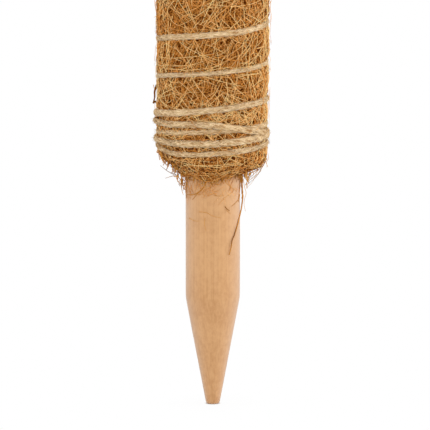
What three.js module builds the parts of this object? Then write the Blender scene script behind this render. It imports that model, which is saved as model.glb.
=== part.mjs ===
// Moss pole: a tapered wooden stake with a coir mat rolled round it and tied on with twine.
// Millimetres, +Z up the pole. The origin is the middle of the flat face at the tip.
// -Y is the front. The mat's seam and the twine's knots are at the back, on the +Y side.

import * as THREE from 'three';

// Stake
const POLE_LENGTH = 300;
const STAKE_DIAMETER = 16;
const TIP_DIAMETER = 4.4;
const TIP_EDGE_RADIUS = 0.5;
const TAPER_LENGTH = 33.2;
const TOP_CHAMFER = 0.8;
const TOP_PROUD = 10; // stake standing out above the mat
const BARE_LENGTH = 66.5; // stake standing out below the mat

// Coir mat
const COIR_DIAMETER = 33.4;
const END_LIP = 1.2; // thickness left where an end is drawn in onto the stake
const SEAM_GAP = 0.6;
const SWELL_SLOPE = 0.4; // rise of the mat beside a turn, for each mm away from it

// Twine
const TWINE_DIAMETER = 1.6;
const TWINE_SINK = 0.35; // depth of the twine's middle below the mat's outer surface
const END_MARGIN = 7.6; // from the mat's end to the twine's end
const BINDING_PITCH = 2.7;
const RUN_PITCH = 11.1; // aim, evened out to whole turns
const LOWER_BINDING_TURNS = 4.25;
const UPPER_BINDING_TURNS = 2.75;
const LEAN = 0.78; // each loop is lower by this on +X and higher on -X

// Knots
const KNOT_DIAMETER = 3;
const KNOT_LENGTH = 4.6;
const KNOT_NECK = 0.8;
const TAIL_LENGTH = 4;

// Clearance between touching pieces
const CLEARANCE = 0.3;

// Facets
const STAKE_SIDES = 48;
const TIP_EDGE_STEPS = 4;
const STEPS_PER_TURN = 20;
const TWINE_SIDES = 6;
const END_ARC_STEPS = 4;
const KNOT_SIDES = 12;
const KNOT_STEPS = 8;

// Sizes worked out from those above
const stakeRadius = STAKE_DIAMETER / 2;
const coirRadius = COIR_DIAMETER / 2;
const twineRadius = TWINE_DIAMETER / 2;
const coirBottom = BARE_LENGTH;
const coirTop = POLE_LENGTH - TOP_PROUD;
const boreRadius = (stakeRadius + CLEARANCE) / Math.cos(Math.PI / STEPS_PER_TURN);
const endRadius = boreRadius + END_LIP;
const routeRadius = coirRadius - TWINE_SINK;
const grooveRadius = routeRadius - twineRadius - CLEARANCE;
const windingBottom = coirBottom + END_MARGIN;
const windingTop = coirTop - END_MARGIN;
const bindingTurns = LOWER_BINDING_TURNS + UPPER_BINDING_TURNS;
const runLength = windingTop - windingBottom - bindingTurns * BINDING_PITCH;
const turns = Math.round(bindingTurns + runLength / RUN_PITCH);
const runTurns = turns - bindingTurns;
const seamAngle = Math.PI / 2;

const wood = new THREE.MeshStandardMaterial({ color: 0xd7aa80, roughness: 0.6, metalness: 0 });
const coir = new THREE.MeshStandardMaterial({ color: 0xb07a3c, roughness: 0.95, metalness: 0 });
const jute = new THREE.MeshStandardMaterial({ color: 0xd2b98c, roughness: 0.9, metalness: 0 });

function namedMesh(name, geometry, material) {
  const mesh = new THREE.Mesh(geometry, material);
  mesh.name = name;
  return mesh;
}

function geometryFrom(points, triangles) {
  const geometry = new THREE.BufferGeometry();
  geometry.setFromPoints(points);
  geometry.setIndex(triangles);
  geometry.computeVertexNormals();
  return geometry;
}

// A point at an angle round the pole, a radius and a height.
function polar(angle, radius, z) {
  return new THREE.Vector3(radius * Math.cos(angle), radius * Math.sin(angle), z);
}

// Height of the winding after a number of turns, before its loops lean.
function climb(turn) {
  const inLower = Math.min(turn, LOWER_BINDING_TURNS);
  const inRun = THREE.MathUtils.clamp(turn - LOWER_BINDING_TURNS, 0, runTurns);
  const inUpper = Math.max(turn - LOWER_BINDING_TURNS - runTurns, 0);
  return windingBottom + (inLower + inUpper) * BINDING_PITCH + inRun * (runLength / runTurns);
}

// Height of the twine's middle line at an angle round the pole on one of its turns.
function twineHeight(angle, turn) {
  return climb(turn) - LEAN * Math.cos(angle);
}

// The stake is turned: a flat tip with a rounded edge, a straight taper, a shank and a chamfered top.
function makeStake() {
  const tipRadius = TIP_DIAMETER / 2;
  const profile = [new THREE.Vector2(0, 0)];
  const taperSlope = Math.atan2(stakeRadius - tipRadius, TAPER_LENGTH);
  const arcEnd = Math.PI / 2 - taperSlope;
  for (let i = 0; i <= TIP_EDGE_STEPS; i++) {
    const angle = (arcEnd * i) / TIP_EDGE_STEPS;
    const x = tipRadius - TIP_EDGE_RADIUS + TIP_EDGE_RADIUS * Math.sin(angle);
    const y = TIP_EDGE_RADIUS * (1 - Math.cos(angle));
    profile.push(new THREE.Vector2(x, y));
  }
  profile.push(new THREE.Vector2(stakeRadius, TAPER_LENGTH));
  profile.push(new THREE.Vector2(stakeRadius, POLE_LENGTH - TOP_CHAMFER));
  profile.push(new THREE.Vector2(stakeRadius - TOP_CHAMFER, POLE_LENGTH));
  profile.push(new THREE.Vector2(0, POLE_LENGTH));
  const geometry = new THREE.LatheGeometry(profile, STAKE_SIDES);
  geometry.rotateX(Math.PI / 2);
  return namedMesh('stake', geometry, wood);
}

// One section of the mat through the axis, as [radius, height] points from the lower lip up the
// outside, then back down the bore. Each turn of twine sits in a groove, the mat swells between two
// turns, and each end is a quarter ellipse from the outermost groove in to the lip.
function matSection(angle) {
  const share = (angle - seamAngle) / (2 * Math.PI);
  const grooves = [];
  for (let turn = 0; turn < turns; turn++) {
    grooves.push(twineHeight(angle, turn + share));
  }
  const lowest = grooves[0];
  const highest = grooves[turns - 1];
  const drawnIn = grooveRadius - endRadius;
  const section = [];
  for (let i = 0; i < END_ARC_STEPS; i++) {
    const arc = (Math.PI / 2) * (i / END_ARC_STEPS);
    section.push([endRadius + drawnIn * Math.sin(arc), lowest - (lowest - coirBottom) * Math.cos(arc)]);
  }
  grooves.forEach((height, turn) => {
    section.push([grooveRadius, height]);
    if (turn < turns - 1) {
      const half = (grooves[turn + 1] - height) / 2;
      section.push([Math.min(coirRadius, grooveRadius + SWELL_SLOPE * half), height + half]);
    }
  });
  for (let i = END_ARC_STEPS - 1; i >= 0; i--) {
    const arc = (Math.PI / 2) * (i / END_ARC_STEPS);
    section.push([endRadius + drawnIn * Math.sin(arc), highest + (coirTop - highest) * Math.cos(arc)]);
  }
  section.push([boreRadius, coirTop], [boreRadius, coirBottom]);
  return section;
}

// The triangles that close the mat at one edge of its seam.
function seamWall(section) {
  const outline = section.map(([radius, z]) => new THREE.Vector2(radius, z));
  return THREE.ShapeUtils.triangulateShape(outline, []);
}

// The mat is its section carried once round the stake, from one edge of the seam to the other.
function makeCoirMat() {
  const seamHalfAngle = SEAM_GAP / COIR_DIAMETER;
  const points = [];
  const sections = [];
  for (let column = 0; column <= STEPS_PER_TURN; column++) {
    let angle = seamAngle + (2 * Math.PI * column) / STEPS_PER_TURN;
    if (column === 0) angle += seamHalfAngle;
    if (column === STEPS_PER_TURN) angle -= seamHalfAngle;
    const section = matSection(angle);
    sections.push(section);
    section.forEach(([radius, z]) => points.push(polar(angle, radius, z)));
  }
  const size = sections[0].length;
  const triangles = [];
  for (let column = 0; column < STEPS_PER_TURN; column++) {
    for (let level = 0; level < size; level++) {
      const next = (level + 1) % size;
      const a = column * size + level;
      const b = (column + 1) * size + level;
      const c = (column + 1) * size + next;
      const d = column * size + next;
      triangles.push(a, b, c, a, c, d);
    }
  }
  const lastColumn = STEPS_PER_TURN * size;
  seamWall(sections[0]).forEach(([a, b, c]) => triangles.push(a, b, c));
  seamWall(sections.at(-1)).forEach(([a, b, c]) => {
    triangles.push(lastColumn + a, lastColumn + c, lastColumn + b);
  });
  return namedMesh('coir_mat', geometryFrom(points, triangles), coir);
}

// The twine's middle line: a helix of uneven pitch, with a straight stretch of one twine diameter
// at each end, where it meets its knot.
function twineRoute() {
  const route = [];
  for (let step = 0; step <= turns * STEPS_PER_TURN; step++) {
    const turn = step / STEPS_PER_TURN;
    const angle = seamAngle + 2 * Math.PI * turn;
    route.push(polar(angle, routeRadius, twineHeight(angle, turn)));
  }
  const startDirection = route[0].clone().sub(route[1]).normalize();
  const endDirection = route.at(-1).clone().sub(route.at(-2)).normalize();
  route.unshift(route[0].clone().addScaledVector(startDirection, TWINE_DIAMETER));
  route.push(route.at(-1).clone().addScaledVector(endDirection, TWINE_DIAMETER));
  return { route, startDirection, endDirection };
}

// Least clear distance between stretches of the twine that are half a turn or more apart.
function leastSelfGap(route) {
  let least = Infinity;
  for (let i = 0; i < route.length; i++) {
    for (let j = i + STEPS_PER_TURN / 2; j < route.length; j++) {
      least = Math.min(least, route[i].distanceTo(route[j]));
    }
  }
  return least - TWINE_DIAMETER;
}

// The twine is a ring of points carried along its route and closed by a cap at each end.
function makeTwine(route) {
  const points = [];
  route.forEach((middle, i) => {
    const before = route[Math.max(i - 1, 0)];
    const after = route[Math.min(i + 1, route.length - 1)];
    const along = after.clone().sub(before).normalize();
    const outward = new THREE.Vector3(middle.x, middle.y, 0);
    outward.addScaledVector(along, -outward.dot(along)).normalize();
    const across = new THREE.Vector3().crossVectors(along, outward);
    for (let side = 0; side < TWINE_SIDES; side++) {
      const turned = (2 * Math.PI * side) / TWINE_SIDES;
      const point = middle.clone();
      point.addScaledVector(outward, twineRadius * Math.cos(turned));
      point.addScaledVector(across, twineRadius * Math.sin(turned));
      points.push(point);
    }
  });
  const triangles = [];
  for (let ring = 0; ring < route.length - 1; ring++) {
    for (let side = 0; side < TWINE_SIDES; side++) {
      const next = (side + 1) % TWINE_SIDES;
      const a = ring * TWINE_SIDES + side;
      const b = ring * TWINE_SIDES + next;
      const c = (ring + 1) * TWINE_SIDES + next;
      const d = (ring + 1) * TWINE_SIDES + side;
      triangles.push(a, b, c, a, c, d);
    }
  }
  const lastRing = (route.length - 1) * TWINE_SIDES;
  for (let side = 1; side < TWINE_SIDES - 1; side++) {
    triangles.push(0, side + 1, side);
    triangles.push(lastRing, lastRing + side, lastRing + side + 1);
  }
  return namedMesh('twine', geometryFrom(points, triangles), jute);
}

// A knot is turned about the twine's line: a neck as thick as the twine, the swelling of the knot,
// and the cut tail.
function makeKnot(name, twineEnd, direction) {
  const profile = [new THREE.Vector2(0, 0), new THREE.Vector2(twineRadius, 0)];
  const swell = KNOT_DIAMETER / 2 - twineRadius;
  for (let i = 0; i <= KNOT_STEPS; i++) {
    const along = i / KNOT_STEPS;
    const radius = twineRadius + swell * Math.sqrt(Math.sin(Math.PI * along));
    profile.push(new THREE.Vector2(radius, KNOT_NECK + KNOT_LENGTH * along));
  }
  const length = KNOT_NECK + KNOT_LENGTH + TAIL_LENGTH;
  profile.push(new THREE.Vector2(twineRadius, length), new THREE.Vector2(0, length));
  const knot = namedMesh(name, new THREE.LatheGeometry(profile, KNOT_SIDES), jute);
  knot.position.copy(twineEnd).addScaledVector(direction, CLEARANCE);
  knot.quaternion.setFromUnitVectors(new THREE.Vector3(0, 1, 0), direction);
  return knot;
}

const { route, startDirection, endDirection } = twineRoute();
console.log(`twine: ${turns} turns, least gap to itself ${leastSelfGap(route).toFixed(2)} mm`);

const mossPole = new THREE.Group();
mossPole.add(makeStake());
mossPole.add(makeCoirMat());
mossPole.add(makeTwine(route));
mossPole.add(makeKnot('lower_knot', route[0], startDirection));
mossPole.add(makeKnot('upper_knot', route.at(-1), endDirection));

export default mossPole;
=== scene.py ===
"""Looks of a moss pole: a turned wooden stake, a mat of coir fibres and a winding of jute twine."""

import logging
import math
from dataclasses import dataclass, field, replace
from enum import Enum

import bpy
import numpy as np
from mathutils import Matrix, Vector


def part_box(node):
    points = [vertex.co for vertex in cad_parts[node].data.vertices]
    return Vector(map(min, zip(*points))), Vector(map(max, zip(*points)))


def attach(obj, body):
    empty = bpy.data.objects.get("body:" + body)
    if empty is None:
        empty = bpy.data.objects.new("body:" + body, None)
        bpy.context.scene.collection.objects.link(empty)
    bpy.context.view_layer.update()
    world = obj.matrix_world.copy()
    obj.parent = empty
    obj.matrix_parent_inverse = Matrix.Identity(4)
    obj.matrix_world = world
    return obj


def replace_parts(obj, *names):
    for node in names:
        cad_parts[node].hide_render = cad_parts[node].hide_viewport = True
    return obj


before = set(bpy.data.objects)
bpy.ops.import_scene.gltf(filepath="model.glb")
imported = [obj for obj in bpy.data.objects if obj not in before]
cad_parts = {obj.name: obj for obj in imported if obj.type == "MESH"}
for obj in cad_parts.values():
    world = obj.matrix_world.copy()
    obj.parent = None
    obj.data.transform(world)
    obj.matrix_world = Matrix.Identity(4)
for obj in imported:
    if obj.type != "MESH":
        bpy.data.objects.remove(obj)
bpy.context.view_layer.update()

LOG = logging.getLogger("moss_pole")
MM = 0.001
FULL_TURN = 2 * math.pi
SEAM_ANGLE = math.pi / 2
TWINE_INSET = 7.6
TINY = 1e-9
BAKE_MAP = "OFBake"

Array = np.ndarray
Range = tuple[float, float]
Colour = tuple[float, float, float, float]
Socket = bpy.types.NodeSocket
Tree = bpy.types.NodeTree
Material = bpy.types.Material
Piece = bpy.types.Object


def srgb(red: int, green: int, blue: int) -> Colour:
    """Turns a colour as it is seen on a screen, from 0 to 255, into the linear one that shaders take.

    Dark values are a straight line of the screen's and the others a power of 2.4, as screens have it.

    Args:
        red: Screen red.
        green: Screen green.
        blue: Screen blue.

    Returns:
        Linear red, green, blue and a full alpha.
    """
    seen = np.array([red, green, blue]) / 255
    linear = np.where(seen <= 0.04045, seen / 12.92, ((seen + 0.055) / 1.055) ** 2.4)
    return (*linear.tolist(), 1.0)


def unit(vectors: Array) -> Array:
    """Scales vectors on the last axis to length 1."""
    return vectors / np.maximum(np.linalg.norm(vectors, axis=-1, keepdims=True), TINY)


def bell(distance: Array, reach: float) -> Array:
    """Gives the bell exp(-(distance / reach)^2), which is 1 in the middle and fades on both sides."""
    return np.exp(-((distance / reach) ** 2))


def turn_from(angle: Array, start: float) -> Array:
    """Gives the turn from one angle to others by the shorter way, from minus to plus half a turn."""
    return (angle - start + math.pi) % FULL_TURN - math.pi


def round_angles(count: int) -> Array:
    """Gives evenly spaced angles once round."""
    return FULL_TURN * np.arange(count) / count


def polar(angle: Array, radius: Array, z: Array) -> Array:
    """Gives points at an angle round the pole, a radius and a height."""
    return np.stack((radius * np.cos(angle), radius * np.sin(angle), z), axis=-1)


def lengths_along(points: Array) -> Array:
    """Adds up the steps of lines.

    Args:
        points: Lines' points on the last two axes, in mm.

    Returns:
        The way from each line's start to each of its points, in mm.
    """
    step = np.linalg.norm(np.diff(points, axis=-2), axis=-1)
    start = np.zeros((*step.shape[:-1], 1))
    return np.concatenate((start, step.cumsum(axis=-1)), axis=-1)


def sampled(at: Array, places: Array, points: Array) -> Array:
    """Samples a line, straight between its points, which lie at rising places along it."""
    return np.stack([np.interp(at, places, part) for part in points.T], axis=-1)


def sideways(paths: Array, outward: Array) -> tuple[Array, Array]:
    """Squares rough outward directions to lines.

    Args:
        paths: Lines' points on the last two axes.
        outward: Rough directions away from the pole, which broadcast to paths.

    Returns:
        Unit directions outwards and across, both square to the lines.
    """
    along = unit(np.gradient(paths, axis=-2))
    across = unit(np.cross(along, np.broadcast_to(outward, paths.shape)))
    return np.cross(across, along), across


def smooth_path(controls: Array, steps: int) -> Array:
    """Runs a Catmull-Rom curve through given points.

    Between two controls the place is a cubic in the share of the way, whose slope at each control is
    half the step from the control before it to the one after it.

    Args:
        controls: Points by 3, in mm.
        steps: Steps between two controls.

    Returns:
        Points along the curve.
    """
    ends = np.concatenate((2 * controls[:1] - controls[1:2], controls, 2 * controls[-1:] - controls[-2:-1]))
    share = (np.arange(steps) / steps)[None, :, None]
    before, start, stop, after = (ends[i : len(ends) - 3 + i, None, :] for i in range(4))
    curve = 0.5 * (
        2 * start
        + (stop - before) * share
        + (2 * before - 5 * start + 4 * stop - after) * share**2
        + (3 * start - before - 3 * stop + after) * share**3
    )
    return np.concatenate((curve.reshape(-1, 3), controls[-1:]))


def thinned(share: Array, power: int) -> Array:
    """Gives the thickness along a fibre, which falls from 1 to a half with a power of the way."""
    return 1 - 0.5 * share**power


def column(rng: np.random.Generator, limits: Range, count: int) -> Array:
    """Draws even random numbers between two limits, as a column."""
    return rng.uniform(*limits, count)[:, None]


def node_box(node: str) -> tuple[Array, Array]:
    """Gives a CAD node's lowest and highest corners in mm."""
    low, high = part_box(node)
    return np.array(low) / MM, np.array(high) / MM


def link(name: str, data: bpy.types.ID) -> bpy.types.Object:
    """Puts a mesh, a lamp or a camera into the scene as an object at the origin.

    Args:
        name: The object's name.
        data: What it shows.

    Returns:
        The object.
    """
    linked = bpy.data.objects.new(name, data)
    bpy.context.scene.collection.objects.link(linked)
    return linked


class PoleEnd(Enum):
    """The two ends of the pole, with the way that each points along Z."""

    LOWER = -1
    UPPER = 1


@dataclass
class Shape:
    """A piece as whole arrays, before it becomes a mesh.

    Attributes:
        points: Places in mm, one row each.
        faces: Point numbers, one array for each count of corners.
        maps: The bake map's place of every corner, in arrays that match faces.
        values: Named numbers or vectors for every point.
    """

    points: Array
    faces: list[Array]
    maps: list[Array]
    values: dict[str, Array] = field(default_factory=dict)


def grid_shape(points: Array, wrap_rows: bool) -> Shape:
    """Makes a closed tube of a grid of points.

    Columns go round and always meet again. Rows either meet again too, which gives a ring, or end in
    a fan of triangles to one point that the first and the last row are drawn together on.

    Args:
        points: Grid of rows by columns by 3, in mm.
        wrap_rows: True where the last row joins the first.

    Returns:
        The shape, with a map that unrolls the grid on a square.
    """
    rows, columns, _ = points.shape
    row_steps = rows if wrap_rows else rows - 1
    row, place = np.meshgrid(np.arange(row_steps), np.arange(columns), indexing="ij")
    here = row * columns
    above = (row + 1) % rows * columns
    beside = (place + 1) % columns
    quads = np.stack((here + place, here + beside, above + beside, above + place), axis=-1)
    u = np.stack((place, place + 1, place + 1, place), axis=-1) / columns
    v = np.stack((row, row, row + 1, row + 1), axis=-1) / row_steps
    shape = Shape(
        points.reshape(-1, 3), [quads.reshape(-1, 4)], [np.stack((u, v), axis=-1).reshape(-1, 4, 2)]
    )
    if not wrap_rows:
        ring = np.arange(columns)
        after = (ring + 1) % columns
        last = (rows - 1) * columns
        pole = np.full(columns, rows * columns)
        low_fan = np.stack((pole, after, ring), axis=-1)
        high_fan = np.stack((pole + 1, last + ring, last + after), axis=-1)
        edge = np.stack((ring + 0.5, ring + 1, ring), axis=-1) / columns
        low_map = np.stack((edge, np.zeros_like(edge)), axis=-1)
        high_map = np.stack((edge[:, [0, 2, 1]], np.ones_like(edge)), axis=-1)
        poles = np.stack((points[0].mean(axis=0), points[-1].mean(axis=0)))
        shape.points = np.concatenate((shape.points, poles))
        shape.faces.append(np.concatenate((low_fan, high_fan)))
        shape.maps.append(np.concatenate((low_map, high_map)))
    return shape


def strand_shape(
    paths: Array, radii: Array, sides: int, reference: Array, cell_steps: int, flat: float = 1.0
) -> Shape:
    """Carries a ring of points along many paths at once and closes both ends of each.

    A ring point is the path's point plus the radius times cos(a) along one direction across the path
    plus sin(a) along the other, for a going once round. The map has a small cell of its own for every
    stretch of a strand.

    Args:
        paths: Strands by rings by 3, in mm.
        radii: Strands by rings, in mm.
        sides: Points on a ring.
        reference: Directions that the first side faces, which broadcast to paths.
        cell_steps: Steps along a strand that share a cell of the map.
        flat: Thickness along the reference as a share of the width across it.

    Returns:
        The shape, with the values along, from 0 to 1, and lay, a vector of cos(a), sin(a) and the
        distance along the strand in mm.
    """
    count, rings, _ = paths.shape
    up, across = sideways(paths, reference)
    turned = round_angles(sides)
    wave = np.stack((np.cos(turned), np.sin(turned)), axis=-1)
    circle = flat * wave[:, :1] * up[:, :, None, :] + wave[:, 1:] * across[:, :, None, :]
    points = paths[:, :, None, :] + radii[:, :, None, None] * circle

    strand, step, side = np.meshgrid(
        np.arange(count), np.arange(rings - 1), np.arange(sides), indexing="ij"
    )
    here = (strand * rings + step) * sides
    after = here + sides
    next_side = (side + 1) % sides
    quads = np.stack((here + side, here + next_side, after + next_side, after + side), axis=-1)

    cells_each = math.ceil((rings - 1) / cell_steps)
    cells_across = math.ceil(math.sqrt(count * cells_each))
    cell = strand * cells_each + step // cell_steps
    margin = 0.08
    share = (step % cell_steps) / cell_steps
    u = np.stack((share, share, share + 1 / cell_steps, share + 1 / cell_steps), axis=-1)
    v = np.stack((side, side + 1, side + 1, side), axis=-1) / sides
    u = ((cell % cells_across)[..., None] + margin + (1 - 2 * margin) * u) / cells_across
    v = ((cell // cells_across)[..., None] + margin + (1 - 2 * margin) * v) / cells_across
    quad_map = np.stack((u, v), axis=-1)

    fan = np.stack((np.zeros(sides - 2, int), np.arange(1, sides - 1), np.arange(2, sides)), axis=-1)
    first_ring = (np.arange(count) * rings * sides)[:, None, None]
    caps = np.concatenate((first_ring + fan[:, ::-1], first_ring + (rings - 1) * sides + fan))
    cap_map = np.concatenate((quad_map[:, 0, :1, 0], quad_map[:, -1, :1, 3]))[:, None, :, :]
    cap_map = np.broadcast_to(cap_map, (*caps.shape, 2))

    travelled = lengths_along(paths)
    lay = np.empty((count, rings, sides, 3))
    lay[..., :2] = wave
    lay[..., 2] = travelled[:, :, None]
    along = travelled / np.maximum(travelled[:, -1:], TINY)
    return Shape(
        points.reshape(-1, 3),
        [quads.reshape(-1, 4), caps.reshape(-1, 3)],
        [quad_map.reshape(-1, 4, 2), cap_map.reshape(-1, 3, 2)],
        {"along": np.repeat(along.ravel(), sides), "lay": lay.reshape(-1, 3)},
    )


def make_piece(name: str, shape: Shape, material: Material) -> Piece:
    """Turns a shape into a smooth mesh object that rides on the pole.

    Args:
        name: The piece's name.
        shape: Its arrays.
        material: Its finish.

    Returns:
        The object, at the origin.
    """
    corners = np.concatenate([face.ravel() for face in shape.faces])
    totals = np.concatenate([np.full(len(face), face.shape[1]) for face in shape.faces])
    starts = np.concatenate(([0], totals.cumsum()[:-1]))
    mesh = bpy.data.meshes.new(name)
    mesh.vertices.add(len(shape.points))
    mesh.vertices.foreach_set("co", (shape.points * MM).astype(np.float32).ravel())
    mesh.loops.add(len(corners))
    mesh.loops.foreach_set("vertex_index", corners.astype(np.int32))
    mesh.polygons.add(len(totals))
    mesh.polygons.foreach_set("loop_start", starts.astype(np.int32))
    mesh.polygons.foreach_set("use_smooth", np.ones(len(totals), bool))
    mesh.update(calc_edges=True)
    layer = mesh.uv_layers.new(name=BAKE_MAP)
    places = np.concatenate([corner.reshape(-1, 2) for corner in shape.maps])
    layer.uv.foreach_set("vector", places.astype(np.float32).ravel())
    for value_name, value in shape.values.items():
        flat = value.astype(np.float32)
        kind, key = ("FLOAT", "value") if flat.ndim == 1 else ("FLOAT_VECTOR", "vector")
        mesh.attributes.new(value_name, kind, "POINT").data.foreach_set(key, flat.ravel())
    mesh.materials.append(material)
    piece = link(name, mesh)
    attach(piece, "root")
    LOG.info("%s: %d points, %d faces", name, len(shape.points), len(totals))
    return piece


class NodeMaker:
    """Adds shader nodes to one tree in few words."""

    # The Mix node's colour sockets share their names with its other sockets, so they go by number.
    MIX_FIRST = 6
    MIX_SECOND = 7
    MIX_RESULT = 2

    def __init__(self, tree: Tree) -> None:
        """Keeps the tree."""
        self.tree = tree

    def feed(self, target: Socket, source: object) -> None:
        """Links a socket to another one, or sets its plain value.

        Args:
            target: The socket that is fed.
            source: The socket that feeds it, or the value.
        """
        if isinstance(source, Socket):
            self.tree.links.new(source, target)
        else:
            target.default_value = source

    def add(self, kind: str, inputs: dict | None = None, **settings: object) -> bpy.types.Node:
        """Adds a node.

        Args:
            kind: The node's type, without its ShaderNode or Node prefix.
            inputs: Sockets or plain values for its inputs, by their names or numbers.
            settings: Attributes of the node.

        Returns:
            The node.
        """
        prefix = "Node" if kind in ("GroupInput", "GroupOutput") else "ShaderNode"
        node = self.tree.nodes.new(prefix + kind)
        for key, value in settings.items():
            setattr(node, key, value)
        for key, source in (inputs or {}).items():
            self.feed(node.inputs[key], source)
        return node

    def math(self, operation: str, first: object, second: object = 0.0) -> Socket:
        """Adds a Math node and gives its result."""
        return self.add("Math", {0: first, 1: second}, operation=operation).outputs[0]

    def ramp(self, value: object, low: float, high: float, start: float, end: float) -> Socket:
        """Carries a value from low..high to start..end, smoothly and within those limits."""
        inputs = {"Value": value, "From Min": low, "From Max": high, "To Min": start, "To Max": end}
        return self.add("MapRange", inputs, interpolation_type="SMOOTHSTEP", clamp=True).outputs["Result"]

    def mix(self, share: object, first: object, second: object) -> Socket:
        """Mixes two colours by a share."""
        inputs = {"Factor": share, self.MIX_FIRST: first, self.MIX_SECOND: second}
        return self.add("Mix", inputs, data_type="RGBA").outputs[self.MIX_RESULT]

    def noise(self, vector: Socket, scale: object, detail: float, rough: float = 0.5) -> Socket:
        """Adds a noise texture and gives its value, which lies about 0.5."""
        inputs = {"Vector": vector, "Scale": scale, "Detail": detail, "Roughness": rough}
        return self.add("TexNoise", inputs).outputs["Fac"]

    def stretched(self, vector: Socket, scale: tuple[float, float, float]) -> Socket:
        """Scales a coordinate by a factor for each axis."""
        return self.add("Mapping", {"Vector": vector, "Scale": scale}).outputs["Vector"]

    def in_mm(self) -> Socket:
        """Gives the piece's own coordinates in mm."""
        return self.stretched(self.add("TexCoord").outputs["Object"], (1 / MM, 1 / MM, 1 / MM))

    def attribute(self, name: str, output: str = "Fac") -> Socket:
        """Reads a named value of the piece's points."""
        return self.add("Attribute", attribute_name=name).outputs[output]

    def bump(self, height: Socket, strength: float, distance: float) -> Socket:
        """Adds a bump with a distance in mm and gives its normal."""
        inputs = {"Height": height, "Strength": strength, "Distance": distance * MM}
        return self.add("Bump", inputs).outputs["Normal"]

    def show(self, output: str, share: Socket, first: Socket, second: Socket) -> None:
        """Mixes two shaders by a share and feeds the tree's output node with them."""
        mixed = self.add("MixShader", {0: share, 1: first, 2: second}).outputs["Shader"]
        self.feed(self.tree.nodes[output].inputs["Surface"], mixed)


def new_material(
    name: str, roughness: float, specular: float
) -> tuple[Material, NodeMaker, bpy.types.Node]:
    """Starts a material on its own Principled shader.

    Args:
        name: The material's name.
        roughness: Roughness all over.
        specular: Specular level all over.

    Returns:
        The material, a maker of its nodes and the shader.
    """
    material = bpy.data.materials.new(name)
    material.use_nodes = True
    shader = material.node_tree.nodes["Principled BSDF"]
    shader.inputs["Roughness"].default_value = roughness
    shader.inputs["Specular IOR Level"].default_value = specular
    return material, NodeMaker(material.node_tree), shader


def new_group(name: str, numbers: tuple[str, ...], colours: tuple[str, ...]) -> Tree:
    """Starts a shader node group.

    Args:
        name: The group's name.
        numbers: Names of its inputs that are plain numbers.
        colours: Names of its inputs that are colours.

    Returns:
        The group, still without outputs.
    """
    tree = bpy.data.node_groups.new(name, "ShaderNodeTree")
    for key in numbers:
        tree.interface.new_socket(key, in_out="INPUT", socket_type="NodeSocketFloat")
    for key in colours:
        tree.interface.new_socket(key, in_out="INPUT", socket_type="NodeSocketColor")
    return tree


def mottle_group() -> Tree:
    """Builds the group that drifts slowly over the pole: a noise of a size in mm, about 0.

    Returns:
        The group.
    """
    tree = new_group("mottle", ("Size", "Amount"), ())
    tree.interface.new_socket("Shift", in_out="OUTPUT", socket_type="NodeSocketFloat")
    make = NodeMaker(tree)
    given = make.add("GroupInput").outputs
    scale = make.math("DIVIDE", 1 / MM, given["Size"])
    noise = make.noise(make.add("TexCoord").outputs["Object"], scale, 2.0)
    whole_range = make.math("MULTIPLY", given["Amount"], 2.0)
    shift = make.math("MULTIPLY", make.math("SUBTRACT", noise, 0.5), whole_range)
    make.add("GroupOutput", {"Shift": shift})
    return tree


def tone_group() -> Tree:
    """Builds the group that turns a fibre's shade into a colour.

    A shade of 0 is the dark colour, 0.5 the middle one and 1 the light one. Below 0 it falls to nearly
    black, and a fibre's two ends are a little darker.

    Returns:
        The group.
    """
    tree = new_group("fibre_tone", ("Shade", "Along", "Shift"), ("Dark", "Middle", "Light"))
    tree.interface.new_socket("Colour", in_out="OUTPUT", socket_type="NodeSocketColor")
    make = NodeMaker(tree)
    given = make.add("GroupInput").outputs
    from_middle = make.math("ABSOLUTE", make.math("SUBTRACT", given["Along"], 0.5))
    end_shade = make.ramp(from_middle, 0.3, 0.5, 0.0, 0.12)
    shade = make.math("SUBTRACT", make.math("ADD", given["Shade"], given["Shift"]), end_shade)
    low = make.mix(make.ramp(shade, 0.0, 0.5, 0.0, 1.0), given["Dark"], given["Middle"])
    high = make.mix(make.ramp(shade, 0.5, 1.0, 0.0, 1.0), low, given["Light"])
    # Shades below 0 come mostly from painted shade: the dark gap fibres and the darkened sides of fibres.
    nearly_black = srgb(44, 14, 1)
    colour = make.mix(make.ramp(shade, -0.8, 0.0, 1.0, 0.0), high, nearly_black)
    make.add("GroupOutput", {"Colour": colour})
    return tree


@dataclass(frozen=True)
class SharedGroups:
    """The node groups that several finishes use.

    Attributes:
        mottle: Slow changes over the pole.
        tone: Turns a fibre's shade into a colour.
    """

    mottle: Tree
    tone: Tree


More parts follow.
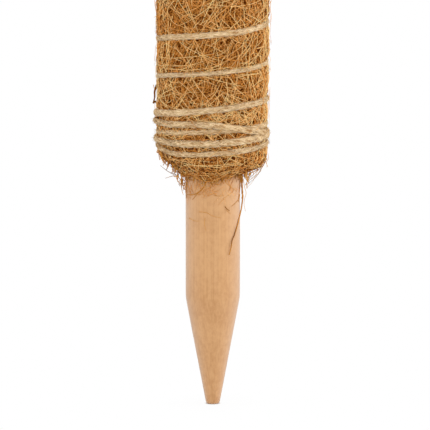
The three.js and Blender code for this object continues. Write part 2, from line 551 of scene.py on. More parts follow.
@dataclass(frozen=True)
class FibreFinish:
    """Colours of a plant fibre, from its shaded side to its brightest.

    Attributes:
        dark: Colour of dark fibres.
        middle: Colour of most fibres.
        light: Colour of the palest fibres.
        painted_underside_shade: Painted shade: how much darker a fibre's flanks and inner side are, as a
            part of its shade.
        mottle_size: Size of the slow changes of shade, in mm.
        mottle_amount: How far they reach, as a part of the shade.
    """

    name: str
    dark: Colour
    middle: Colour
    light: Colour
    roughness: float
    specular: float
    painted_underside_shade: float = 0.0
    mottle_size: float = 7.0
    mottle_amount: float = 0.06

    def colour(self, make: NodeMaker, groups: SharedGroups, shade: Socket, along: object) -> Socket:
        """Turns a shade and its slow drift over the pole into one of the finish's colours.

        Args:
            make: Maker of the material's nodes.
            groups: The shared groups.
            shade: How pale the fibre is.
            along: Share of the way along the fibre.

        Returns:
            The colour.
        """
        sizes = {"Size": self.mottle_size, "Amount": self.mottle_amount}
        drift = make.add("Group", sizes, node_tree=groups.mottle).outputs["Shift"]
        inputs = {"Shade": shade, "Along": along, "Shift": drift}
        inputs |= {"Dark": self.dark, "Middle": self.middle, "Light": self.light}
        return make.add("Group", inputs, node_tree=groups.tone).outputs["Colour"]

    def strand_material(self, groups: SharedGroups) -> Material:
        """Makes the finish of single fibres, whose colour follows each fibre's own shade.

        Args:
            groups: The shared groups.

        Returns:
            The material.
        """
        material, make, shader = new_material(self.name, self.roughness, self.specular)
        # Painted shade: a fibre is darker on its flanks and on its side towards the pole, for the shadow
        # between fibres.
        facing = make.add("SeparateXYZ", {"Vector": make.attribute("lay", "Vector")}).outputs["X"]
        shadow = make.ramp(facing, -0.5, 0.6, self.painted_underside_shade, 0.0)
        shade = make.math("SUBTRACT", make.attribute("shade"), shadow)
        colour = self.colour(make, groups, shade, make.attribute("along"))
        make.feed(shader.inputs["Base Color"], colour)
        return material

    def felt_material(self) -> Material:
        """Makes the finish of felted fibre: three tones in fine tangled noise, with the same in its bump.

        Returns:
            The material.
        """
        material, make, shader = new_material(self.name, self.roughness, self.specular)
        tangle = make.noise(make.in_mm(), 1.6, 4.0, 0.6)
        low = make.mix(make.ramp(tangle, 0.3, 0.5, 0.0, 1.0), self.dark, self.middle)
        colour = make.mix(make.ramp(tangle, 0.5, 0.7, 0.0, 1.0), low, self.light)
        make.feed(shader.inputs["Base Color"], colour)
        make.feed(shader.inputs["Normal"], make.bump(tangle, 0.8, 0.3))
        return material

    def yarn_material(self, groups: SharedGroups) -> Material:
        """Makes the finish of a ply: fine fibres that run along it, in colour and bump.

        Args:
            groups: The shared groups.

        Returns:
            The material.
        """
        material, make, shader = new_material(self.name, self.roughness, self.specular)
        yarn = make.noise(make.stretched(make.attribute("lay", "Vector"), (2.2, 2.2, 0.55)), 1.0, 3.0, 0.6)
        shade = make.ramp(yarn, 0.3, 0.7, 0.0, 0.8)
        make.feed(shader.inputs["Base Color"], self.colour(make, groups, shade, 0.5))
        make.feed(shader.inputs["Normal"], make.bump(yarn, 0.6, 0.12))
        return material


@dataclass(frozen=True)
class WoodFinish:
    """A pale turned softwood with fine growth rings, short flecks and a slow drift of colour.

    Attributes:
        pale: Colour of the early wood.
        deep: Colour of the late wood.
        fleck: Colour of the short flecks.
        pith: Where the tree's middle lies from the stake's axis, in mm.
        ring_lean: How far the rings lean along the stake, as a slope.
        cone_top: Height under which the cone is painted darker, a painted shade of its downward slope, in
            mm.
        cone_fade: Stretch over which that comes in, in mm.
        cone_painted_shade: How much darker it gets there.
        shank_top: Height up to which the bare shank slowly turns paler, in mm.
        shank_depth: How much paler it gets there.
    """

    pale: Colour
    deep: Colour
    fleck: Colour
    pith: Range = (-19.0, 26.0)
    ring_width: float = 1.5
    ring_lean: float = 0.035
    ring_show: float = 0.1
    grain_show: float = 0.34
    fleck_show: float = 0.25
    drift_size: float = 16.0
    drift_amount: float = 0.35
    roughness: float = 0.5
    specular: float = 0.3
    sheen: float = 0.38
    sheen_roughness: float = 0.65
    cone_top: float = 42.0
    cone_fade: float = 16.0
    cone_painted_shade: float = 0.18
    shank_top: float = 60.0
    shank_depth: float = 0.1

    def rings(self, make: NodeMaker, in_mm: Socket) -> Socket:
        """Adds the growth rings, a saw wave of the distance from the pith.

        A wave texture of scale 1 has twenty waves in a length of 2 pi.

        Args:
            make: Maker of the material's nodes.
            in_mm: Coordinates in mm.

        Returns:
            The wave, from 0 to 1.
        """
        waves_in_two_pi = 20.0
        from_pith = make.add("VectorMath", {0: in_mm, 1: (*self.pith, 0.0)}, operation="SUBTRACT")
        inputs = {
            "Vector": make.stretched(from_pith.outputs["Vector"], (1.0, 1.0, self.ring_lean)),
            "Scale": FULL_TURN / (waves_in_two_pi * self.ring_width),
            "Distortion": 2.0,
            "Detail": 2.0,
            "Detail Scale": 0.25,
        }
        wave = make.add("TexWave", inputs, wave_type="RINGS", rings_direction="Z", wave_profile="SAW")
        return wave.outputs["Fac"]

    def material(self, groups: SharedGroups, length: float) -> Material:
        """Makes the material, solid through the wood, so that the taper and the ends cut its rings.

        Args:
            groups: The shared groups.
            length: Height of the sawn top, where the rings show as end grain, in mm.

        Returns:
            The material.
        """
        material, make, shader = new_material("turned_wood", self.roughness, self.specular)
        shader.inputs["Sheen Weight"].default_value = self.sheen
        shader.inputs["Sheen Roughness"].default_value = self.sheen_roughness
        in_mm = make.in_mm()
        rings = self.rings(make, in_mm)
        streak = make.noise(make.stretched(in_mm, (2.0, 2.0, 0.02)), 1.0, 4.0, 0.7)
        figure = make.noise(make.stretched(in_mm, (0.75, 0.75, 0.6)), 1.0, 4.0, 0.65)
        fleck = make.noise(make.stretched(in_mm, (2.6, 2.6, 1.2)), 1.0, 2.0, 0.5)
        height = make.add("SeparateXYZ", {"Vector": in_mm}).outputs["Z"]
        sizes = {"Size": self.drift_size, "Amount": self.drift_amount}
        share = make.add("Group", sizes, node_tree=groups.mottle).outputs["Shift"]
        parts = (
            make.ramp(rings, 0.35, 1.0, 0.0, self.ring_show),
            make.ramp(streak, 0.3, 0.7, 0.0, self.grain_show),
            make.ramp(figure, 0.3, 0.7, 0.0, self.grain_show),
            # Painted shade: the cone, which faces a little downwards, is darkened.
            make.ramp(height, self.cone_top - self.cone_fade, self.cone_top, self.cone_painted_shade, 0.0),
            make.ramp(height, self.cone_top, self.shank_top, 0.0, -self.shank_depth),
        )
        for part in parts:
            share = make.math("ADD", share, part)
        ground = make.mix(make.ramp(share, 0.0, 1.0, 0.0, 1.0), self.pale, self.deep)
        flecked = make.mix(make.ramp(fleck, 0.6, 0.75, 0.0, self.fleck_show), ground, self.fleck)
        on_top = make.ramp(height, length - 0.5, length - 0.05, 0.0, 1.0)
        late = make.ramp(rings, 0.2, 1.0, 0.1, 0.65)
        end_grain = make.mix(make.math("MULTIPLY", late, on_top), flecked, self.fleck)
        make.feed(shader.inputs["Base Color"], end_grain)
        make.feed(shader.inputs["Normal"], make.bump(make.math("ADD", streak, fleck), 0.25, 0.05))
        return material


@dataclass
class Stake:
    """The turned dowel, from its small flat tip to its chamfered top.

    Attributes:
        taper_softness: How soft the corner between taper and shank is, in mm.
        corner: How far above and below that corner the outline has closer steps, in mm.
        waver: Heights of the two waves that sanding leaves round the dowel, in mm.
        waver_lengths: How far up the dowel each of them turns by a radian, in mm.
        steps: Steps of the outline on the tip's edge, the cone, the corner, the shank and the top's edge.
    """

    finish: WoodFinish
    tip_radius: float = 2.0
    tip_edge: float = 0.4
    taper: float = 32.0
    taper_softness: float = 0.15
    corner: float = 3.5
    chamfer: float = 0.8
    waver: Range = (0.035, 0.02)
    waver_lengths: Range = (23, 9)
    steps: tuple[int, int, int, int, int] = (5, 24, 16, 90, 4)
    sides: int = 96

    def __post_init__(self) -> None:
        """Takes the dowel's radius and length from the CAD model."""
        low, high = node_box("stake")
        self.radius = (high[0] - low[0]) / 2
        self.length = high[2]

    def profile(self) -> Array:
        """Works out the outline as radius and height, in mm.

        The shank and the taper meet in a soft corner, the smooth minimum of the two radii: their mean
        less half the root of their difference squared plus the softness squared.

        Returns:
            Points by 2, from the tip's flat up to the top's flat.
        """
        tip_steps, cone_steps, corner_steps, shank_steps, top_steps = self.steps
        tip_turn = np.linspace(0.0, 1.0, tip_steps + 1)[1:] * math.pi / 2 * 0.9
        tip_radius = self.tip_radius - self.tip_edge * (1 - np.sin(tip_turn))
        tip = np.column_stack((tip_radius, self.tip_edge * (1 - np.cos(tip_turn))))
        # The stretches keep a little apart, so that no two rows fall together where they meet.
        heights = np.concatenate(
            (
                np.linspace(self.tip_edge * 1.6, self.taper - self.corner - 0.5, cone_steps),
                np.linspace(self.taper - self.corner, self.taper + self.corner, corner_steps),
                np.linspace(self.taper + self.corner + 1.5, self.length - self.chamfer - 0.2, shank_steps),
            )
        )
        cone = self.tip_radius + (self.radius - self.tip_radius) * heights / self.taper
        gap = np.sqrt((cone - self.radius) ** 2 + self.taper_softness**2)
        shank = np.column_stack(((cone + self.radius - gap) / 2, heights))
        top_turn = np.linspace(0.1, 0.9, top_steps) * math.pi / 2
        top_radius = self.radius - self.chamfer * (1 - np.cos(top_turn))
        top = np.column_stack((top_radius, self.length - self.chamfer * (1 - np.sin(top_turn))))
        tip_flat = [[inside, 0.0] for inside in (0.45, 1.2, self.tip_radius - self.tip_edge)]
        top_flat = [[inside, self.length] for inside in (self.radius - self.chamfer, self.radius / 2, 0.6)]
        return np.concatenate((tip_flat, tip, shank, top, top_flat))

    def build(self, groups: SharedGroups) -> None:
        """Turns the outline about the axis, with the slight waver that sanding leaves on a dowel.

        The waver is a wave of two crests and one of three round the dowel. Both turn slowly along it and
        fade towards the tip.

        Args:
            groups: The shared groups.
        """
        angle = round_angles(self.sides)
        radius, z = np.split(self.profile(), 2, axis=1)
        first, second = self.waver_lengths
        waver = self.waver[0] * np.sin(2 * angle + z / first)
        waver = waver + self.waver[1] * np.sin(3 * angle - z / second + 1.0)
        grid = polar(angle[None, :], radius + waver * np.minimum(radius / 4, 1), z + 0 * angle)
        wood = self.finish.material(groups, self.length)
        stake = make_piece("turned_stake", grid_shape(grid, False), wood)
        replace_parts(stake, "stake")


@dataclass
class TwineRoute:
    """The twine's middle line, as height and radius against the turns wound so far.

    Up the pole it is the even helix of the solids. The loops of the lower binding run unevenly and cross,
    so their heights are given at five places across the front. Lengths are in mm.

    Attributes:
        bottom: Height of the twine's lower end.
        top: Height of its upper end.
        lean: How far a loop lies lower at the right than its even rise, and higher at the left.
        binding_fade: Turns past a binding where its radius starts to fade, and over which its lifts do.
        smoothing: Parts of a turn, one of which is the reach of the bell that rounds the line's corners.
        stations: Shares of a turn where the loops' heights are given.
        lower_heights: For each loop, heights at the left, front left, front, front right and right.
        lower_lifts: How far the twine stands out there beyond the binding's own radius.
        run_rises: Turns and how far the twine lies there above its even helix.
        offset: How far the mat and its twine lie off the stake's axis, along X.
        offset_height: Where they do so most.
        offset_reach: How far up and down from there the offset fades.
    """

    bottom: float
    top: float
    turns: int = 24
    lower_turns: float = 4.25
    upper_turns: float = 2.75
    binding_pitch: float = 2.7
    lean: float = 0.78
    run_radius: float = 15.95
    binding_radius: float = 16.15
    binding_fade: float = 0.5
    first_lift: float = 0.2
    samples_per_turn: int = 220
    smoothing: int = 14
    stations: tuple[float, ...] = (0.25, 0.375, 0.5, 0.625, 0.75)
    lower_heights: tuple[tuple[float, ...], ...] = (
        (78.0, 75.4, 76.2, 77.2, 78.1),
        (79.4, 78.9, 79.0, 80.2, 80.2),
        (84.8, 84.3, 85.2, 82.2, 81.0),
        (81.4, 81.9, 82.7, 83.2, 83.8),
        (86.8, 87.6, 89.0, 90.3, 91.5),
    )
    lower_lifts: tuple[tuple[float, ...], ...] = (
        (-0.2, -0.3, 0.05, 0.0, -0.05),
        (0.35, 0.15, 0.1, 0.05, 0.0),
        (0.6, 0.25, 0.15, 0.35, 0.2),
        (-0.4, -0.4, -0.35, -0.35, -0.15),
        (0.3, 0.15, 0.1, 0.1, 0.05),
    )
    run_rises: tuple[Range, ...] = (
        (5.1, 0.0), (5.5, 0.15), (5.75, 0.6), (6.1, 0.0), (6.4, 0.0), (6.5, 0.15),
        (6.6, 0.3), (6.68, 0.95), (6.75, 0.95), (7.1, 0.9), (7.6, 0.9), (8.0, 0.0),
    )
    offset: float = -0.34
    offset_height: float = 82.0
    offset_reach: float = 12.0

    def __post_init__(self) -> None:
        """Samples the route once, evenly in turns."""
        self.turn = np.linspace(0, self.turns, self.turns * self.samples_per_turn + 1)
        run_turns = self.turns - self.lower_turns - self.upper_turns
        binding = (self.lower_turns + self.upper_turns) * self.binding_pitch
        run_pitch = (self.top - self.bottom - binding) / run_turns
        in_run = np.clip(self.turn - self.lower_turns, 0, run_turns)
        angle = SEAM_ANGLE + FULL_TURN * self.turn
        even = self.bottom + (self.turn - in_run) * self.binding_pitch + in_run * run_pitch
        even -= self.lean * np.cos(angle)
        even += np.interp(self.turn, *np.array(self.run_rises).T)
        past_lower = self.turn - self.lower_turns - self.binding_fade
        before_upper = run_turns + self.lower_turns - self.binding_fade - self.turn
        in_binding = 1 - np.clip(np.minimum(past_lower, before_upper), 0, 1)
        radius = self.run_radius + (self.binding_radius - self.run_radius) * in_binding
        loops = len(self.lower_heights)
        at = (np.arange(loops)[:, None] + np.array(self.stations)).ravel()
        control_turns = np.concatenate(([0.0], at))
        control_heights = np.concatenate(([even[0]], np.ravel(self.lower_heights)))
        control_lifts = np.concatenate(([self.first_lift], np.ravel(self.lower_lifts)))
        by_hand = np.interp(self.turn, control_turns, control_heights)
        fade = np.clip(1 - (self.turn - at[-1]) / self.binding_fade, 0, 1)
        self.height = self.smoothed(np.where(self.turn <= at[-1], by_hand, even))
        self.radius = self.smoothed(radius + fade * np.interp(self.turn, control_turns, control_lifts))

    def smoothed(self, values: Array) -> Array:
        """Rounds the corners of a sampled line: each value becomes a mean of its neighbours under a bell.

        Args:
            values: The line's values.

        Returns:
            As many values.
        """
        reach = self.samples_per_turn // self.smoothing
        weights = bell(np.arange(-2 * reach, 2 * reach + 1), reach)
        ends = (np.full(2 * reach, values[0]), values, np.full(2 * reach, values[-1]))
        return np.convolve(np.concatenate(ends), weights / weights.sum(), mode="valid")

    def place(self, angle: Array, radius: Array, z: Array) -> Array:
        """Gives points round the mat's own axis, whose offset from the stake's fades along a bell.

        Args:
            angle: Angles round the pole.
            radius: Distances from the mat's axis.
            z: Heights.

        Returns:
            Points in mm.
        """
        points = polar(angle, radius, z)
        points[..., 0] += self.offset * bell(z - self.offset_height, self.offset_reach)
        return points

    def points(self) -> Array:
        """Gives the middle line's points in mm."""
        return self.place(SEAM_ANGLE + FULL_TURN * self.turn, self.radius, self.height)

    def heights_at(self, angle: Array) -> Array:
        """Gives the height of every loop at angles round the pole.

        Args:
            angle: The angles.

        Returns:
            Heights, with the loops on a new last axis.
        """
        share = ((angle - SEAM_ANGLE) / FULL_TURN) % 1.0
        sample = np.rint(share * self.samples_per_turn).astype(int)
        loop_starts = np.arange(self.turns) * self.samples_per_turn
        return self.height[sample[..., None] + loop_starts]


@dataclass(frozen=True)
class Patch:
    """A stretch of the pole's surface where fibres lie.

    The middle angle, from +X, and the half width are in degrees, and the lowest and highest heights in mm.
    """

    angle: float
    spread: float
    low: float
    high: float


@dataclass(frozen=True)
class Dent:
    """A bell shaped place where the mat is drawn in or swells out, and where its lower edge is moved.

    Its middle angle, from +X, and half width are in degrees, and its middle's height and half height in mm.
    The depth is how far the mat is drawn in, below 0 where it swells out, and the rise is how far its lower
    edge is drawn up there, below 0 where it hangs down.
    """

    angle: float
    spread: float
    height: float
    reach: float
    depth: float
    rise: float


@dataclass(frozen=True)
class FibreLayer:
    """One layer of fibres that lie on the mat or on the twine.

    Attributes:
        steps: Steps along a fibre.
        length: Shortest and longest, in mm.
        width: Thinnest and thickest, in mm.
        lift: Lowest and highest place above the surface that they lie on, in mm.
        shade: Darkest and palest: 0 is the finish's dark colour and 1 its light one, below 0 lies nearly
            black, and above 1 more of the fibres are as pale as they can be.
        seed: Start of its random draws.
        bend: Spread of the turn along a fibre, in radians a mm.
        rise: How far the last end of a fibre stands off, least and most, in mm.
        bridge: Share of the twine's groove that the fibres span instead of lying in it.
        patch: Where they lie, or nothing for the whole mat.
        bundle: Fibres that lie side by side, nearly along each other.
    """

    name: str
    count: int
    steps: int
    length: Range
    width: Range
    lift: Range
    shade: Range
    seed: int
    bend: float = 0.022
    rise: Range = (0.0, 0.0)
    bridge: float = 0.0
    patch: Patch | None = None
    bundle: int = 1


@dataclass(frozen=True)
class Tuft:
    """Loose fibre ends that stick out of the mat's lower edge over a stretch of its round.

    Angles are in degrees from +X. The length and the flare, the outward part of the direction that the
    fibres start in, are the least and the most. The highest fibre starts high mm above the mat's edge.
    """

    angle: float
    spread: float
    count: int
    length: Range
    flare: Range
    high: float


@dataclass(frozen=True)
class Wisp:
    """A tangled bunch of loose ends that hangs from one place near the mat's lower edge.

    Its place is an angle in degrees from +X and a height in mm. The lean is its direction's parts outwards,
    round the pole and up, scatter is the spread of its fibres' directions, and root that of their starts.
    """

    angle: float
    height: float
    count: int
    length: Range
    lean: tuple[float, float, float]
    scatter: float
    root: float = 0.5


@dataclass(frozen=True)
class FallenFibre:
    """A fibre that has come loose and lies on the front of the stake, or stands off the mat's edge.

    Attributes:
        route: Places across the front and heights, in mm.
        width: Its thickness where it starts, in mm.
        shade: How pale it is, on the scale of a fibre layer's shade.
        depth: Its place from front to back, in mm, or nothing where it lies on the stake.
        strands: How many like it hang side by side.
        tones: Changes of its shade at the route's places, or a single 0 where it has one shade.
    """

    route: tuple[Range, ...]
    width: float
    shade: float
    depth: float | None = None
    strands: int = 1
    tones: tuple[float, ...] = (0.0,)


@dataclass
class CoirMat:
    """The mat of coconut fibre: a felt core, layers of fibres on it and the loose ends.

    Lengths are in mm, and most pairs are the least and the most. Names that start with loose are of the
    loose ends, and their curl, sag and swing are shares of an end's length.

    Attributes:
        draw_in: Length of the drawn-in stretch at each end.
        fullness: Power of the sine that the outline follows there.
        skirt: How far the outline goes on down the stake.
        top_skirt: How far it goes on up the stake.
        overhang: How far fibres reach past the mat's ends at most.
        end_fade: Length at each end over which lumps, grooves and dents come in.
        ragged: Height of each wave of the lower edge.
        ragged_waves: For each wave, its crests round the pole and its start in radians.
        rise_reach: How far up the pole the lower edge's changes fade.
        lump_turns: Most crests of a lump's wave round the pole.
        core_lip: Share of the core's depth at its very ends.
        even_steps: Shares of the round and of the length from one fibre's place to the next.
        even_starts: Steps within which a layer's first place is drawn.
        sway_start: How far ahead a fibre's sway starts for each mm of its length, in radians.
        weave: Most of a layer's thickness that a fibre weaves through, as a share.
        tuft_around: Spread of the tufts' directions round the pole.
        loose_turn: Turn of a loose end's swing along it, in radians.
        least_depth: Least depth of a fallen fibre before the stake's axis, squared.
        strand_spread: Spread of the strands of a bunch across, in depth and in height.
        strand_shade: Middle and spread of the change of their shades.
    """

    route: TwineRoute
    finish: FibreFinish
    felt: FibreFinish
    loose: FibreFinish
    radius: float = 16.3
    lip_radius: float = 8.35
    draw_in: float = 8.0
    fullness: float = 1.1
    skirt: float = 14.0
    top_skirt: float = 8.0
    overhang: float = 1.2
    outline_points: int = 6000
    end_fade: float = 3.0
    groove_depth: float = 0.6
    groove_width: float = 1.05
    seam_depth: float = 0.7
    seam_width: float = 1.0
    # Painted shade: how much darker the fibres near the lower edge are.
    painted_edge_shade: float = 0.08
    lip_rise: float = 0.9
    ragged: float = 0.35
    ragged_waves: tuple[tuple[int, int], ...] = ((3, 1), (5, 4), (11, 2))
    rise_reach: float = 6.0
    dents: tuple[Dent, ...] = (
        Dent(208, 48, 71.5, 4.0, 2.5, 1.3),
        Dent(348, 45, 69.6, 2.0, -1.1, 0.6),
        Dent(182, 28, 92.0, 4.2, 0.55, 0.0),
        Dent(308, 24, 70.0, 3.0, 0.0, 1.5),
        Dent(260, 16, 70.0, 3.0, 0.0, -1.3),
        Dent(345, 30, 75.2, 2.2, 0.35, 0.0),
        Dent(350, 30, 98.0, 10.0, 0.22, 0.0),
    )
    lump_height: float = 0.03
    lump_waves: int = 12
    lump_length: Range = (8, 25)
    lump_turns: int = 8
    core_depth: float = 0.95
    core_fade: float = 4.0
    core_lip: float = 0.1
    core_uneven: float = 0.12
    core_rows: int = 300
    core_columns: int = 150
    bore_rows: int = 8
    bore_gap: float = 0.1
    fibre_sides: int = 3
    even_steps: Range = (0.7548776662, 0.5698402910)
    even_starts: int = 1000
    sway: float = 0.06
    sway_length: Range = (5, 14)
    sway_start: float = 7.0
    weave: float = 1.1
    weave_length: Range = (4, 12)
    bundle_spread: float = 1.1
    bundle_turn: float = 0.14
    tuft_lift: float = 0.05
    tuft_around: float = 0.7
    wisp_lift: float = -0.1
    loose_steps: int = 7
    loose_curl: float = 0.35
    loose_sag: float = 0.2
    loose_swing: float = 0.1
    loose_turn: Range = (5, 9)
    loose_radius: Range = (0.1, 0.17)
    loose_shade: Range = (0.15, 0.95)
    stake_gap: float = 0.06
    fallen_steps: int = 28
    curve_steps: int = 8
    least_depth: float = 2.0
    strand_spread: tuple[float, float, float] = (0.3, 0.5, 0.3)
    strand_depth: float = 3.0
    strand_shade: Range = (0.05, 0.2)
    lump_seed: int = 5
    core_seed: int = 3
    loose_seed: int = 21
    fallen_seed: int = 23
    bunch_seed: int = 24
    # Deeper layers get darker shades, a painted shade of the mat's depths.
    layers: tuple[FibreLayer, ...] = (
        FibreLayer("coir_deep_fibres", 6000, 5, (5, 12), (0.2, 0.3), (-0.95, -0.6), (0.0, 0.5), 11),
        FibreLayer("coir_lower_fibres", 5400, 5, (4, 11), (0.2, 0.3), (-0.65, -0.4), (0.1, 0.7), 12),
        FibreLayer("coir_middle_fibres", 5400, 5, (4, 11), (0.2, 0.3), (-0.45, -0.2), (0.2, 0.8), 20),
        # Painted shade: short nearly black fibres under the upper layers, for the shadow in the gaps between
        # fibres.
        FibreLayer("coir_painted_gap_shade", 9500, 2, (0.4, 1.0), (0.2, 0.3), (-0.1, 0.12), (-0.8, -0.3), 22),
        # Painted shade: more short nearly black fibres round the lower end, for its shade below the twine.
        FibreLayer(
            "coir_painted_low_shade", 260, 2, (0.4, 1.0), (0.2, 0.3), (-0.05, 0.2), (-0.9, -0.4), 26,
            patch=Patch(270, 180, 68.0, 75.5),
        ),
        FibreLayer("coir_upper_fibres", 5400, 5, (3, 9), (0.19, 0.26), (-0.3, 0.0), (0.3, 1.0), 13, 0.11),
        FibreLayer("coir_top_fibres", 5400, 5, (3, 9), (0.17, 0.24), (-0.1, 0.2), (0.35, 1.25), 14, 0.1),
        FibreLayer(
            "coir_long_fibres", 1300, 9, (10, 22), (0.18, 0.25), (0.0, 0.3), (0.6, 1.3), 53, 0.02, bundle=2
        ),
        # Painted light: paler fibres between two loops of twine at the front, which lighten the shade there.
        FibreLayer(
            "coir_painted_light_patch", 80, 5, (2, 6), (0.17, 0.24), (0.05, 0.3), (0.6, 1.3), 27, 0.1,
            patch=Patch(282, 38, 85.9, 90.6),
        ),
        FibreLayer(
            "coir_stray_fibres", 400, 8, (3, 8), (0.07, 0.12), (0.0, 0.3), (-0.1, 0.35), 16, 0.08, (0.2, 1.1)
        ),
        FibreLayer(
            "coir_crossing_fibres", 420, 8, (4, 12), (0.1, 0.18), (0.55, 0.8), (0.4, 1.0), 17, 0.05,
            (0.0, 0.4), 1.0,
        ),
        FibreLayer(
            "coir_fibres_on_stake", 80, 9, (2, 7), (0.05, 0.1), (0.02, 0.1), (0.5, 0.9), 18, 0.05,
            patch=Patch(270, 95, 61.5, 67.5),
        ),
        FibreLayer(
            "coir_haze_on_stake", 60, 6, (1, 4), (0.06, 0.12), (0.02, 0.1), (0.5, 0.85), 28, 0.12,
            patch=Patch(253, 24, 63.0, 67.6),
        ),
    )
    tufts: tuple[Tuft, ...] = (
        Tuft(200, 16, 12, (0.8, 2.0), (0.0, 0.4), 7.0),
        Tuft(270, 50, 24, (1, 3), (0.0, 0.2), 1.5),
        Tuft(90, 60, 70, (1.5, 5), (0.0, 0.6), 7.0),
        Tuft(0, 180, 120, (0.4, 1.2), (0.2, 1.0), 11.0),
    )
    wisps: tuple[Wisp, ...] = (
        Wisp(100, 69.5, 12, (1.6, 4.0), (0.2, 0.0, -1.0), 0.4),
        Wisp(70, 68.0, 12, (2.0, 6.0), (0.1, 0.0, -1.0), 0.25),
        Wisp(135, 70.5, 10, (1.6, 3.6), (0.2, 0.0, -1.0), 0.4),
    )
    fallen: tuple[FallenFibre, ...] = (
        FallenFibre(
            (
                (8.0, 69.4), (8.3, 67.3), (8.5, 65.9), (8.6, 64.7), (8.6, 63.0), (8.8, 62.3), (8.7, 61.1),
                (8.5, 59.4), (8.2, 57.5), (7.6, 54.9), (7.1, 53.3), (6.4, 51.1), (5.7, 49.6), (5.5, 48.0),
                (4.9, 45.4),
            ),
            0.64,
            0.45,
            tones=(0.1, 0.1, 0.0, -0.1, 0.0, 0.3, -0.1, 0.0, 0.25, 0.3, 0.1, -0.3, -0.25, 0.1, 0.4),
        ),
        FallenFibre(((8.5, 69.4), (8.7, 66.6), (8.4, 65.1), (8.8, 63.4), (8.5, 61.4)), 0.52, 0.4),
        FallenFibre(((8.2, 68.4), (8.0, 64.6), (7.7, 62.3), (7.6, 60.6)), 0.34, 0.6),
        FallenFibre(((3.6, 67.6), (4.0, 66.7), (5.4, 65.4), (7.0, 63.9)), 0.22, 0.75),
        FallenFibre(((8.0, 62.6), (7.7, 61.6), (6.7, 60.5), (5.5, 59.7)), 0.26, 0.8),
        FallenFibre(((-1.8, 68.4), (-2.5, 66.0), (-3.8, 64.4), (-5.4, 63.3), (-7.6, 62.8)), 0.36, 0.55),
        FallenFibre(((-1.4, 68.4), (-2.2, 66.4), (-4.0, 64.1), (-6.0, 61.6)), 0.28, 0.65),
        FallenFibre(((3.6, 59.8), (4.3, 59.0), (5.0, 58.4)), 0.28, 0.3),
        FallenFibre(((3.9, 58.9), (4.5, 58.2), (5.2, 57.4)), 0.16, 0.7),
        FallenFibre(((0.4, 63.1), (2.0, 63.0), (3.4, 63.1)), 0.2, 0.8),
        FallenFibre(((-4.1, 58.2), (-2.0, 58.1), (0.1, 57.1), (2.4, 56.5)), 0.2, 0.8),
        FallenFibre(((-7.0, 56.0), (-5.3, 55.4), (-3.8, 55.5)), 0.18, 0.85),
        FallenFibre(((-2.3, 56.5), (-2.4, 54.5), (-2.0, 52.7)), 0.18, 0.85),
        FallenFibre(((-8.0, 69.0), (-7.9, 66.4), (-7.9, 64.0), (-7.8, 61.6)), 0.3, 0.4),
        FallenFibre(((-7.9, 69.0), (-7.6, 66.6), (-7.7, 64.4), (-7.5, 61.8)), 0.26, 0.6),
        FallenFibre(((-10.8, 68.6), (-12.2, 69.0), (-13.7, 69.9), (-15.4, 71.3)), 0.26, 0.2, -2.0),
        FallenFibre(((-10.8, 68.4), (-12.4, 68.0), (-14.0, 67.5)), 0.22, 0.4, -2.0),
        FallenFibre(((-15.4, 76.8), (-15.8, 75.4), (-15.7, 74.2), (-15.5, 72.9)), 0.4, 0.7, -2.0, 2),
        FallenFibre(((-15.2, 76.2), (-14.9, 74.7), (-14.5, 73.6), (-14.1, 72.0)), 0.44, 0.6, -2.0, 5),
        FallenFibre(((-13.0, 74.8), (-13.1, 73.6), (-13.2, 72.4), (-13.5, 70.8)), 0.44, 0.6, -2.0, 4),
        FallenFibre(((-12.3, 73.8), (-12.2, 72.8), (-12.0, 72.1), (-11.9, 71.2)), 0.42, 0.4, -2.0, 4),
        FallenFibre(((-11.7, 72.4), (-11.4, 71.5), (-11.2, 70.6), (-10.9, 69.4)), 0.44, 0.5, -2.0, 6),
        FallenFibre(((-9.6, 68.8), (-10.9, 69.3), (-11.9, 69.0)), 0.42, 0.6, -2.0, 3),
        FallenFibre(((-10.2, 70.0), (-10.7, 68.8), (-10.5, 67.7), (-10.3, 66.2)), 0.32, 0.5, -2.0, 2),
        FallenFibre(((-10.3, 69.4), (-10.3, 68.0), (-9.6, 66.8), (-9.0, 65.7)), 0.28, 0.4, -2.0, 2),
        FallenFibre(
            ((-8.9, 69.4), (-9.1, 68.2), (-8.8, 66.8), (-8.3, 65.6), (-8.1, 64.6)), 0.42, 0.65, -2.0, 4
        ),
        FallenFibre(((-8.8, 67.0), (-9.0, 65.6), (-9.0, 64.4), (-8.9, 63.2)), 0.28, 0.6, -2.0, 2),
        FallenFibre(
            ((-16.3, 94.9), (-16.7, 93.9), (-17.0, 92.8), (-17.0, 91.9), (-17.1, 90.8), (-17.5, 89.4)),
            0.9, 0.05, 0.0,
        ),
        FallenFibre(((-17.4, 89.5), (-17.0, 89.9), (-16.6, 89.7), (-16.3, 88.7)), 0.85, 0.0, 0.0),
        FallenFibre(((-17.4, 94.9), (-17.2, 94.0), (-16.8, 93.2)), 0.3, 0.6, 0.0),
        FallenFibre(((15.4, 72.5), (14.2, 70.7), (12.8, 69.2), (11.0, 67.5)), 0.2, 0.65, -1.0, 2),
        FallenFibre(((15.7, 73.4), (14.5, 70.4), (12.5, 68.1), (10.4, 66.0)), 0.18, 0.65, -1.0, 2),
        FallenFibre(((14.4, 70.4), (13.4, 68.9), (11.3, 66.9), (10.1, 64.8)), 0.16, 0.6, -1.0, 2),
        FallenFibre(((15.3, 74.6), (15.6, 72.5), (15.9, 70.7)), 0.2, 0.6, -1.0, 2),
        FallenFibre(((9.6, 70.2), (9.8, 68.1), (9.9, 67.3), (9.8, 66.0)), 0.42, 0.6, -1.0, 4),
        FallenFibre(((10.9, 69.6), (10.3, 66.9), (9.8, 65.1)), 0.26, 0.6, -1.0, 3),
        FallenFibre(
            ((9.0, 67.0), (9.3, 64.9), (9.8, 63.0), (9.4, 61.4), (9.2, 59.8), (9.6, 57.6)),
            0.22, 0.8, -1.0,
        ),
    )

